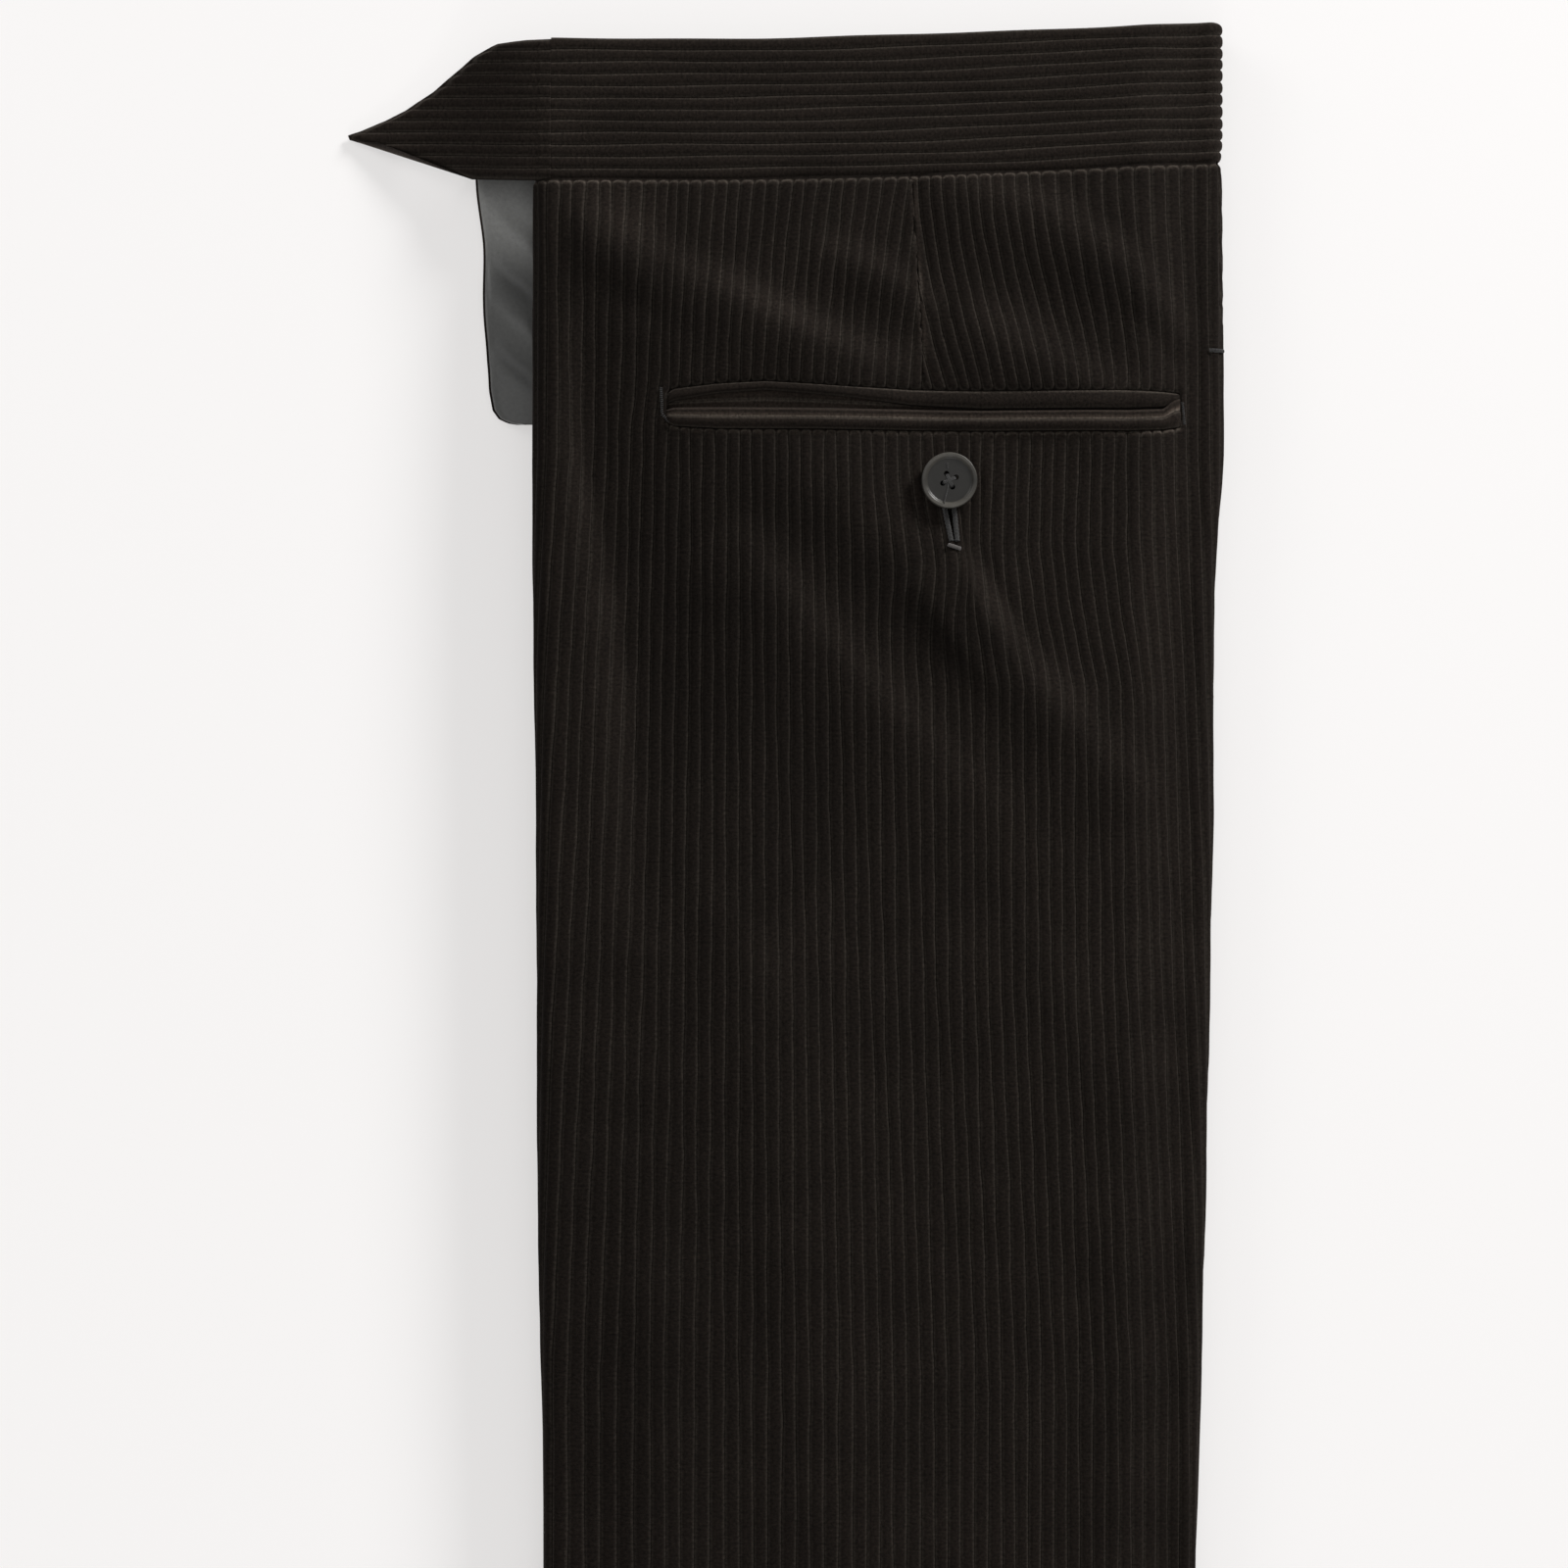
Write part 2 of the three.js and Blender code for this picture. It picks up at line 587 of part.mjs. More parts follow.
// Waistband of the hidden layers, below the one of the right back
function waistbandFolded() {
  const edges = [() => WAIST.y, (x) => waistLine(x) + WAISTBAND_HEIGHT - 0.4];
  const whole = loft(edges.map((edgeY) => layersRing(500, edgeY, 1.0, BAND_CLEAR)), acrossLeg);
  const o = outline(500);
  const mouth = block(o.left + 12, o.right - 12, 505, 540, o.midRight / 2 - 1.5, o.midRight / 2 + 1.5);
  return cut(whole, mouth);
}

// One layer of the fly piece, from its root between the layers out to its free edge
function flyLayer(sink, wall, inset) {
  const steps = 5;
  const rings = FLY.map((row) => {
    const outer = row.outer + inset;
    const fall = (FLY_EDGE_Z - FLY_ROOT_Z) / (FLY[0].outer - FLY_ROOT_X);
    const level = (x) => FLY_ROOT_Z + fall * (x - FLY_ROOT_X) - sink;
    const xs = evenly(FLY_ROOT_X, outer, steps);
    const upper = xs.map((x) => [x, row.y, level(x) + wall]);
    const lower = xs.map((x) => [x, row.y, level(x)]);
    return [...upper, ...lower.reverse()];
  });
  return loft(rings, acrossLeg);
}

function pocketFacing() {
  return pocketSlab(POCKET_LEFT - 4, POCKET_RIGHT - 2, "lower", "upper", -4, 4,
    -(JET_WALL + SEAM), JET_WALL + SEAM + FACING_WALL);
}

// Bar tack: a small close bead across the end of the pocket mouth or the seam
function barTack(x, low, high, width) {
  const stations = evenly(x - width / 2, x + width / 2, 3);
  return strip(stations, (sx) => beadRing(sx, low, high, RIB + 0.4, RIB + 0.6, RIB + 1.1));
}

// Four-hole button with a raised rim round a shallow dish
function buttonShape() {
  const { radius, thick, hole, pitch } = BUTTON;
  const profile = [
    [0, 0], [radius - 1.2, 0], [radius - 0.3, 0.7], [radius, 1.5], [radius - 0.3, thick - 0.4],
    [radius - 0.9, thick], [radius - 1.7, thick - 0.2], [radius - 2.3, thick - 0.8], [0, thick - 1.0],
  ].map(([x, y]) => new THREE.Vector2(x, y));
  const disc = new THREE.LatheGeometry(profile, 28).rotateX(Math.PI / 2);
  const drill = (side) => {
    const tool = new THREE.CylinderGeometry(hole, hole, 3 * thick, 12).rotateX(Math.PI / 2);
    return tool.translate(pitch * Math.cos(side), pitch * Math.sin(side), 0);
  };
  return cut(disc, ...[1, 3, 5, 7].map((n) => drill((n * Math.PI) / 4 + BUTTON.turn)));
}

// Thread that holds the button: a shank below it, a post in each hole and a cross on its face
function threadShape() {
  const { thick, pitch, turn } = BUTTON;
  const shank = new THREE.CylinderGeometry(2.6, 3.2, 0.9, 12).rotateX(Math.PI / 2).translate(0, 0, -0.75);
  const parts = [shank];
  for (const n of [1, 3, 5, 7]) {
    const side = (n * Math.PI) / 4 + turn;
    const post = new THREE.CylinderGeometry(THREAD, THREAD, thick + 1.0, 8).rotateX(Math.PI / 2);
    parts.push(post.translate(pitch * Math.cos(side), pitch * Math.sin(side), (thick - 1.2) / 2));
  }
  for (const n of [1, 3]) {
    const bar = new THREE.BoxGeometry(2 * pitch + 2 * THREAD, 1.1, 0.8);
    parts.push(bar.rotateZ((n * Math.PI) / 4 + turn).translate(0, 0, thick - 0.3));
  }
  return join(...parts);
}

// Stitched edge of the buttonhole: a low ring round the slit
function buttonholeEdge() {
  const ring = slitBlock(BEAD, RIB + 1.0, -(RIB + 0.4));
  return cut(ring, slitBlock(0.05, 9, 9));
}

// Bar tack across the side seam, on the turn of the right edge
function sideTack() {
  const o = outline(SIDE_TACK.y);
  const ring = (turn) => {
    const at = (out) => {
      const p = onArc(o.rightX, o.lowRight + o.rr, o.rr + out, turn);
      return [[p.x, SIDE_TACK.y - 0.6, p.z], [p.x, SIDE_TACK.y + 0.6, p.z]];
    };
    const [a, b] = at(RIB + SEAM);
    const [c, d] = at(RIB + 0.9);
    return [a, b, d, c];
  };
  return loft(evenly(SIDE_TACK.from, SIDE_TACK.to, 4).map(ring), (p) => [p[1], p[0] + p[2]]);
}

// Turned-up hem inside one leg opening
function hemTurn(low) {
  const o = outline(-HALF_LENGTH);
  const y0 = -HALF_LENGTH + 0.4;
  const y1 = -HALF_LENGTH + HEM_DEPTH - 2;
  if (low) {
    const z = o.midRight / 2 - 1.2;
    return block(o.left + 11, o.right - 11, y0, y1, z, z + 1.1);
  }
  const rings = [y0, y1].map((y) => {
    const xs = innerColumns(o).slice(1, -1).filter((_, i) => i % 2 === 0);
    const face = (x, down) => {
      const p = onTop(x, y);
      return [x, y, p.z - down];
    };
    const upper = xs.map((x) => face(x, WALL + SEAM + 0.2));
    const lower = xs.map((x) => face(x, WALL + SEAM + 0.2 + HEM_WALL));
    return [...upper, ...lower.reverse()];
  });
  return loft(rings, acrossLeg);
}

const trousers = new THREE.Group();

function add(name, geometry, look) {
  const mesh = new THREE.Mesh(geometry, new THREE.MeshStandardMaterial(look));
  mesh.name = name;
  trousers.add(mesh);
  return mesh;
}

add("back_right", backRight(), CLOTH);
add("front_right", frontRight(), CLOTH);
add("folded_layers", foldedLayers(), CLOTH);
add("waistband_back", waistbandBack(), CLOTH);
add("waistband_end", waistbandEnd(), CLOTH);
add("waistband_folded", waistbandFolded(), CLOTH);
add("fly_cloth", flyLayer(FLY_CLOTH_WALL, FLY_CLOTH_WALL, 0), CLOTH);
add("fly_lining", flyLayer(-SEAM, FLY_LINING_WALL, 1.2), LINING);
add("pocket_jet_upper", pocketJet("gapeTop", "upper", 0.9), CLOTH);
add("pocket_jet_lower", pocketJet("lower", "gapeLow", 1.3), CLOTH);
add("pocket_facing", pocketFacing(), CLOTH);
add("pocket_tack_left", barTack(POCKET_LEFT - 1.3, 422.8, 430.6, 1.5), STITCH);
add("pocket_tack_right", barTack(POCKET_RIGHT + 1.0, 420.8, 426.8, 1.3), STITCH);
add("side_tack", sideTack(), STITCH);
add("hem_right", hemTurn(false), CLOTH);
add("hem_left", hemTurn(true), CLOTH);

// The button lies on the slope of the cloth below it
const seat = new THREE.Group();
const seatZ = topHeight(BUTTON.x, BUTTON.y) + RIB + 1.6;
seat.position.set(BUTTON.x, BUTTON.y, seatZ);
trousers.add(seat);
for (const [name, shape, look] of [["button", buttonShape(), PLASTIC], ["button_thread", threadShape(), STITCH]]) {
  seat.add(add(name, shape, look));
}
add("buttonhole_edge", buttonholeEdge(), STITCH);
add("buttonhole_tack", barTack(HOLE_SLIT.lowX, HOLE_SLIT.lowY - 2.9, HOLE_SLIT.lowY - 1.5, 3.6), STITCH);

export default trousers;
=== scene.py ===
"""Corduroy trousers folded lengthwise: the finished look of every piece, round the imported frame."""

import math

import bmesh
import bpy
import numpy as np
from bpy.props import FloatProperty, FloatVectorProperty, PointerProperty
from bpy.types import Operator, Panel, PropertyGroup
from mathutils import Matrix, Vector


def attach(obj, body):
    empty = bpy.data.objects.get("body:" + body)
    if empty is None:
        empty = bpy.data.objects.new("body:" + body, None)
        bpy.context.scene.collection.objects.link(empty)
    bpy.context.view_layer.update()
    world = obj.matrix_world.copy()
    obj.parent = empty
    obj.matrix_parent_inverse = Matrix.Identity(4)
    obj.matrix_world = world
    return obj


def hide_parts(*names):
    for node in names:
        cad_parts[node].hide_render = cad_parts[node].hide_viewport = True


bl_info = {
    "name": "Folded corduroy trousers",
    "version": (1, 0, 0),
    "blender": (4, 5, 0),
    "location": "View3D > Sidebar > Trousers",
    "description": "Builds the cloth, pocket, button and waistband of folded corduroy trousers",
    "category": "Add Mesh",
}

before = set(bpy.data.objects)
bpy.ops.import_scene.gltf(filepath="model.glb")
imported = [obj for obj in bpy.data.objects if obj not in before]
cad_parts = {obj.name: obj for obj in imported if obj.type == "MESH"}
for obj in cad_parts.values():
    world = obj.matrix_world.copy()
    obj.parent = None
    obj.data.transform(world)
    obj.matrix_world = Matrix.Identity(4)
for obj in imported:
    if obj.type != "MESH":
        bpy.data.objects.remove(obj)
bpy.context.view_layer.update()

# All tables and sizes are in millimetres, as in the part's source, and become metres when a mesh is placed.
MM = 0.001

# Cloth and whole garment
WALL = 1.7
SEAM = 0.3
HALF_LENGTH = 530.0
WAISTBAND_HEIGHT = 38.0
# Painted light: the waistband cloth is painted 1.3 times lighter, for the sheen of its crosswise wales.
BAND_PAINTED_LIGHT = 1.3
BAND_SEAM_X = -62.6
DROOP_WIDTH = 24.0
EDGE_FADE = 9.0
TUCK = 9.0
FOLD_LINE_X = -67.1

# One row for each cross-section: the edges, the height of the top face, the height of the line between the
# legs at either edge, and how far the top face sinks towards the side seam
SECTION_COLUMNS = ("y", "left", "right", "top", "mid_left", "mid_right", "droop")
SECTIONS = (
    (-530, -62.0, 97.0, 15.5, 7.4, 6.0, 2.8),
    (-100, -63.5, 105.0, 18.5, 9.0, 7.2, 3.8),
    (145, -64.5, 111.8, 21.5, 10.4, 8.2, 4.8),
    (206, -65.9, 113.4, 22.0, 10.6, 8.4, 5.0),
    (314, -66.3, 115.6, 23.0, 11.0, 8.6, 5.2),
    (377, -67.1, 115.8, 23.5, 11.2, 8.6, 5.4),
    (414, -67.3, 118.4, 23.5, 11.2, 8.6, 5.4),
    (487, -67.1, 117.9, 22.0, 10.8, 8.4, 5.0),
    (530, -67.1, 117.9, 21.0, 10.4, 8.2, 4.6),
)

# Folds of the right back, each from a over b to c: how high it stands, and how wide its side that faces the
# waist and side seam and its other side are
FOLD_COLUMNS = ("ax", "ay", "bx", "by", "cx", "cy", "height", "lit", "lee")
FOLDS = (
    (-57, 475.5, -4.2, 448.5, 38, 431, 2.6, 5.5, 20),
    (-20, 459.5, 2, 447, 26, 436, 2.3, 3.8, 14),
    (-62, 480, -48, 469, -33, 462, 2.2, 10, 9),
    (6, 468, 26, 460.5, 41, 449, 2.4, 4.5, 8),
    (36, 487, 84, 467.5, 106, 439, 3.3, 7, 14),
    (79, 486, 94.7, 475.7, 111, 457, 0.7, 4.5, 6),
    (44, 449, 68, 437.5, 95, 424, 3.6, 8, 16),
    (-74, 446, -46, 386, -38, 280, -4.6, 24, 6.5),
    (-16, 394, 8, 364, 58, 314, 2.1, 6.5, 16),
    (-14, 424, 24, 394, 62, 360, 2.4, 16, 14),
    (40, 384, 58, 360, 98, 317, 2.9, 7.0, 12),
    (-32, 320, -2, 230, 14, 80, 1.8, 24, 12),
    (-38, 230, -37, 150, -35, 60, 1.4, 10, 12),
    (-30, 70, 25, -20, 66, -120, 1.5, 18, 18),
    (-46, -200, 4, -262, 60, -310, 1.2, 16, 16),
)
CREASES = (
    (44, 392, 50, 378, 60, 362, 1.1, 2.6, 3.0),
    (50, 391, 58, 376, 70, 356, -0.8, 3.0, 3.0),
    (34, 380, 44, 366, 58, 348, 0.8, 3.0, 3.5),
    (-52, 462, -38, 452, -24, 446, -0.6, 4.5, 4.5),
    (88, 452, 98, 446, 106, 436, -0.8, 4.0, 4.0),
    (-24, 300, -8, 276, 10, 250, 0.6, 6.0, 7.0),
    (60, 290, 74, 266, 84, 232, 0.7, 8.0, 8.0),
    (70, 210, 78, 190, 82, 160, -0.5, 7.0, 7.0),
)

# Patches where the cloth is painted lighter or darker, as painted light and shade of broad folds: place, half-lengths
# along and across its lean, how much
PAINTED_LIGHT_PATCHES = (
    (-22, 360, 70, 24, -68, -0.24),
    (20, 384, 50, 11, -40, -0.22),
    (-38, 170, 110, 30, -88, -0.2),
    (98, 468, 30, 20, -60, -0.2),
    (-50, 452, 26, 20, -60, -0.12),
    (92, 300, 110, 26, -84, 0.1),
    (-46, 480, 16, 9, -30, 0.25),
    (98, 160, 160, 13, -88, -0.14),
)

# Waistband seam: straight at the fold, rising towards the side seam
WAIST = {"y": 486.7, "start_x": -30.0, "run": 148.0, "rise": 5.3}

# Waist dart, and how far the wales lean into it from either side
DART = {"top_x": 34.2, "top_y": 486.7, "end_x": 37.6, "end_y": 431.0, "left": 6.3, "right": 10.5, "dip": 1.5}

# Sideways slip of the wales down the leg: by place across it, and by how much of it has come at each height
SLIP_ACROSS = ((-67, -17.0), (-49, -11.0), (-32, -4.6), (-13, -0.3), (16, 4.7), (54, 9.2), (90, 11.6), (118, 9.5))
SLIP_DOWN = ((-530, 1.0, 1.0), (166, 1.0, 1.0), (219, 0.79, 0.8), (272, 0.57, 0.57), (324, 0.36, 0.52),
             (351, 0.26, 0.48), (372, 0.17, 0.1), (388, 0.1, -0.08), (414, 0.0, 0.0), (530, 0.0, 0.0))

# Back pocket, left to right: seam above the upper jet, foot of that jet, the gape's lower side, seam below
POCKET_COLUMNS = ("x", "upper", "jet_foot", "gape_low", "lower")
POCKET = (
    (-31.6, 429.2, 426.4, 424.8, 421.6),
    (-29.4, 430.6, 427.4, 425.3, 420.5),
    (-18.0, 431.8, 429.2, 425.3, 419.8),
    (-5.0, 432.3, 430.0, 425.1, 419.6),
    (16.0, 431.0, 428.2, 424.8, 419.4),
    (34.0, 430.0, 426.0, 424.6, 419.2),
    (53.0, 429.7, 424.9, 424.3, 419.0),
    (92.0, 430.0, 425.1, 424.5, 419.1),
    (102.0, 429.7, 425.7, 425.0, 419.6),
    (106.6, 429.3, 427.4, 426.9, 420.4),
)
POCKET_LEFT = -31.6
POCKET_RIGHT = 106.6
UPPER_LINE = 430.7
LOWER_LINE = 419.6

# Pointed end of the waistband: its outline and how it falls to the surface
BAND_END_COLUMNS = ("x", "low", "high", "top")
BAND_END = (
    (-119.2, 500.3, 501.5, 3.2),
    (-112.0, 498.6, 504.0, 3.5),
    (-104.5, 496.2, 507.4, 4.2),
    (-97.4, 493.6, 511.4, 6.0),
    (-91.6, 491.2, 515.6, 8.6),
    (-84.0, 487.9, 521.4, 13.0),
    (-77.0, 486.9, 524.3, 17.4),
    (-70.0, 486.72, 524.7, 20.9),
    (-62.7, 486.7, 524.7, 22.6),
)

# Outer edge of the fly piece, from its rounded end up to the waistband
FLY = ((422.4, -72.5), (422.8, -75.0), (424.0, -77.6), (426.4, -79.4), (432.0, -80.8), (440.0, -81.5),
       (456.0, -81.9), (471.7, -82.6), (486.6, -83.8), (493.0, -84.2))
FLY_ROOT_X = -59.0
FLY_ROOT_Z = 5.4
FLY_EDGE_Z = 3.2

BUTTON = {"x": 44.2, "y": 405.5, "radius": 7.45, "thick": 3.0, "hole": 0.72, "pitch": 1.95, "turn": -0.37}
HOLE_SLIT = {"top_x": 44.3, "low_x": 45.6, "top_y": 399.5, "low_y": 389.4, "top_half": 0.9, "low_half": 0.35}


def table(rows, columns):
    """A table's columns as arrays, by name."""
    return dict(zip(columns, np.array(rows, float).T))


SECTION = table(SECTIONS, SECTION_COLUMNS)
POCKET_LINES = table(POCKET, POCKET_COLUMNS)


def smooth(t):
    t = np.clip(t, 0, 1)
    return t * t * (3 - 2 * t)


def waist_line(x):
    return WAIST["y"] + WAIST["rise"] * (np.maximum(0, (x - WAIST["start_x"]) / WAIST["run"])) ** 2


def outline(y):
    """The section at y: its edges and heights, and the radius and centre of its two turned edges."""
    s = {name: np.interp(y, SECTION["y"], SECTION[name]) for name in SECTION_COLUMNS[1:]}
    s["low_left"] = s["mid_left"] + SEAM
    s["low_right"] = s["mid_right"] + SEAM
    s["rl"] = (s["top"] - s["low_left"]) / 2
    s["rr"] = (s["top"] - s["droop"] - s["low_right"]) / 2
    s["left_x"] = s["left"] + s["rl"]
    s["right_x"] = s["right"] - s["rr"]
    return s


def fold_height(fold, x, y):
    """Height that one fold adds: a soft bank across its line, fading to nothing at both ends."""
    f = dict(zip(FOLD_COLUMNS, fold))
    steps = 10
    t = np.linspace(0, 1, steps + 1)
    s = 1 - t
    px = s * s * f["ax"] + s * t * (4 * f["bx"] - f["ax"] - f["cx"]) + t * t * f["cx"]
    py = s * s * f["ay"] + s * t * (4 * f["by"] - f["ay"] - f["cy"]) + t * t * f["cy"]
    out = np.zeros(np.shape(x))
    reach = 2.8 * max(f["lit"], f["lee"])
    near = ((x > px.min() - reach) & (x < px.max() + reach) & (y > py.min() - reach) & (y < py.max() + reach))
    if not near.any():
        return out
    x, y = x[near], y[near]
    best = np.full(x.shape, 1e9)
    along = np.zeros(x.shape)
    width = np.ones(x.shape)
    for i in range(steps):
        run_x, run_y = px[i + 1] - px[i], py[i + 1] - py[i]
        part = np.clip(((x - px[i]) * run_x + (y - py[i]) * run_y) / (run_x**2 + run_y**2), 0, 1)
        gap = np.hypot(x - px[i] - part * run_x, y - py[i] - part * run_y)
        nearer = gap < best
        best = np.where(nearer, gap, best)
        along = np.where(nearer, (i + part) / steps, along)
        side = run_x * (y - py[i]) - run_y * (x - px[i])
        width = np.where(nearer, np.where(side > 0, f["lit"], f["lee"]), width)
    fade = np.maximum(0, np.sin(np.pi * along)) ** 0.6
    out[near] = f["height"] * np.exp(-((best / width) ** 2)) * fade
    return out


def dart_x(y):
    t = (DART["top_y"] - y) / (DART["top_y"] - DART["end_y"])
    return DART["top_x"] + t * (DART["end_x"] - DART["top_x"])


def top_height(x, y):
    """Height of the top face of the bundle, at the foot of its wales."""
    x, y = np.broadcast_arrays(np.asarray(x, float), np.asarray(y, float))
    s = outline(y)
    side = smooth((x - s["right"] + DROOP_WIDTH) / (DROOP_WIDTH - s["rr"]))
    fade = smooth((x - s["left_x"]) / EDGE_FADE) * smooth((s["right_x"] - x) / EDGE_FADE)
    fade = fade * smooth((492 - y) / 10)
    z = s["top"] - s["droop"] * side
    for fold in FOLDS + CREASES:
        z = z + fade * fold_height(fold, x, y)
    strength = np.clip((y - DART["end_y"]) / (DART["top_y"] - DART["end_y"]), 0, 1)
    past = x - dart_x(y)
    step = smooth((past + 0.3) / 1.6) * np.exp(-np.maximum(0, past) / 7)
    return z - 1.1 * step * np.minimum(1, 2.5 * strength) * smooth((492 - y) / 10)


def on_path(run, y, low_turn=math.pi, seam_turn=None):
    """Point on the right leg's outline: run is measured along the cloth and equals x on the top face. Past the
    left fold it goes round into the tuck, past the side seam it turns inwards."""
    s = outline(y)
    seam = math.pi / 2 if seam_turn is None else seam_turn
    left = np.clip((s["left_x"] - run) / s["rl"], 0, low_turn)
    tuck = np.maximum(0, s["left_x"] - run - low_turn * s["rl"])
    right = np.clip((run - s["right_x"]) / s["rr"], 0, seam)
    inward = np.maximum(0, run - s["right_x"] - seam * s["rr"])
    top = np.clip(run, s["left_x"], s["right_x"])
    z = top_height(top, y)
    x = np.where(left > 0, s["left_x"] - s["rl"] * np.sin(left), np.where(right > 0,
                 s["right_x"] + s["rr"] * np.sin(right), run))
    z = np.where(left > 0, s["low_left"] + s["rl"] * (1 + np.cos(left)), z)
    z = np.where(right > 0, s["low_right"] + s["rr"] * (1 + np.cos(right)), z)
    x = x + TUCK * np.tanh(tuck / TUCK) - 6 * np.tanh(inward / 6) * np.sin(seam)
    z = z - 6 * np.tanh(inward / 6) * np.cos(seam)
    return x, z, tuck, inward


def wale_run(u, y):
    """Where wale u lies at height y, as a run along the outline, and how deep the dart swallows it."""
    x0 = FOLD_LINE_X + WALE * u
    t = np.clip((y - DART["end_y"]) / (DART["top_y"] - DART["end_y"]), 0, 1.05)
    pull_left = DART["left"] * np.clip((x0 - FOLD_LINE_X) / 89.5, 0, 1) * t**1.3
    ease = np.clip((x0 - 45) / 50, 0, 1)
    come = (1 - ease) * (1 - np.maximum(0, 1 - t) ** 1.6) + ease * smooth(t)
    pull_right = DART["right"] * smooth((121 - x0) / 50) * come
    from_left, from_right, line = x0 + pull_left, x0 - pull_right, dart_x(y)
    eaten = np.minimum(from_left - line, line - from_right)
    x = np.where(from_left < line, from_left, from_right)
    x = np.where(eaten > 0, line + 0.03 * (x0 - line), x)
    across = np.interp(x0, *np.array(SLIP_ACROSS).T)
    down = table(SLIP_DOWN, ("y", "all", "middle"))
    middle = np.exp(-(((x0 - 62) / 34) ** 4))
    come = (1 - middle) * np.interp(y, down["y"], down["all"]) + middle * np.interp(y, down["y"], down["middle"])
    x = x + across * come
    x = x + 1.8 * smooth((y - 416) / 21) * np.exp(-(((x0 + 38) / 7) ** 2))
    gather = smooth((x0 - 14) / 24) * smooth((53 - x0) / 10)
    x = x + 3.6 * gather * np.exp(-(((y - 384) / 15) ** 2))
    x = x + 0.12 * np.sin(y / 23 + u * 1.3) + 0.1 * np.sin(y / 9.0 + u * 2.1)
    return x, np.maximum(0, eaten)


WALE = 3.25


def in_mouth(x):
    return (x > POCKET_LEFT) & (x < POCKET_RIGHT)


def row_height(v, x):
    """Real height of nominal row v: rows run along the waistband seam and the two pocket seams."""
    upper = np.interp(x, POCKET_LINES["x"], POCKET_LINES["upper"]) - UPPER_LINE
    lower = np.interp(x, POCKET_LINES["x"], POCKET_LINES["lower"]) - LOWER_LINE
    at_waist = np.clip((v - 445) / 34, 0, 1)
    at_upper = np.clip((445 - v) / 11, 0, 1) * np.clip((v - LOWER_LINE) / (UPPER_LINE - LOWER_LINE), 0, 1)
    at_lower = np.clip((UPPER_LINE - v) / (UPPER_LINE - LOWER_LINE), 0, 1) * np.clip((v - 405) / 11, 0, 1)
    return v + at_waist * (waist_line(x) - WAIST["y"]) + at_upper * upper + at_lower * lower


def back_rows():
    """Nominal heights of the rows of the right back, close together beside each seam."""
    near = [0.0, 0.3, 0.6, 0.95, 1.35, 1.9, 2.8]
    rows = [-HALF_LENGTH + 0.6, -HALF_LENGTH + 1.6] + list(np.linspace(-520, 150, 34))
    rows += list(np.arange(152.6, LOWER_LINE - 4.5, 2.6))
    rows += [LOWER_LINE - d for d in reversed(near)]
    rows += [422.4, 425.2, 428.0]
    rows += [UPPER_LINE + d for d in near]
    rows += list(np.arange(UPPER_LINE + 5, WAIST["y"] - 4.5, 2.4))
    rows += [WAIST["y"] - d for d in reversed(near)] + [WAIST["y"] + 1.2, WAIST["y"] + 2.6]
    return np.array(rows)


def wale_columns(first, last):
    """Columns in wales: seven for each, close together in the groove."""
    steps = (0, 0.09, 0.22, 0.4, 0.6, 0.78, 0.91)
    return np.array([n + s for n in range(first, last) for s in steps] + [last], float)


def rib_form(phase, end=0.0):
    """Height of a wale from 0 to 1: a full ridge, rounded off where it ends at a seam."""
    across = np.abs(2 * (phase % 1) - 1)
    return np.clip(1 - across**3.2 - np.clip(end, 0, 1) ** 2.5, 0, 1)


def ripple(a, b, seed):
    """A slow, even-tempered unevenness between -1 and 1."""
    total = 0
    for k in range(1, 5):
        total = total + np.sin(a * 0.021 * k * 1.7 + b * 0.013 * k * k + seed * k) / k
    return total / 2.1


def wander(u, y):
    """How far each groove strays sideways, in mm, the wale between two grooves following both."""
    first = np.floor(u)
    part = u - first

    def groove(n):
        return 0.1 * np.sin(y / 6.7 + 2.4 * n) + 0.07 * np.sin(y / 2.9 + 5.3 * n) + 0.06 * np.sin(y / 1.5 + 3.1 * n)

    return (1 - part) * groove(first) + part * groove(first + 1)


def painted_light_tone(x, y):
    """Painted light and shade: the cloth is painted lighter on slopes that face the waist and the side seam, where the
    light comes from, and darker on slopes that face away; the patches add more painted light and shade.
    """
    step = 1.5
    slope_x = (top_height(x + step, y) - top_height(x - step, y)) / (2 * step)
    slope_y = (top_height(x, y + step) - top_height(x, y - step)) / (2 * step)
    tone = np.clip(1 - 0.5 * (0.66 * slope_x + 0.75 * slope_y), 0.8, 1.3)
    for px, py, along, across, lean, amount in PAINTED_LIGHT_PATCHES:
        dx, dy = x - px, y - py
        c, d = math.cos(math.radians(lean)), math.sin(math.radians(lean))
        tone = tone * (1 + amount * np.exp(-(((dx * c + dy * d) / along) ** 2) - ((dy * c - dx * d) / across) ** 2))
    return tone


def normals(points):
    """Outward unit normals of a grid of points."""
    along_u = np.gradient(points, axis=1)
    along_v = np.gradient(points, axis=0)
    n = np.cross(along_u, along_v)
    return n / np.maximum(np.linalg.norm(n, axis=2, keepdims=True), 1e-12)


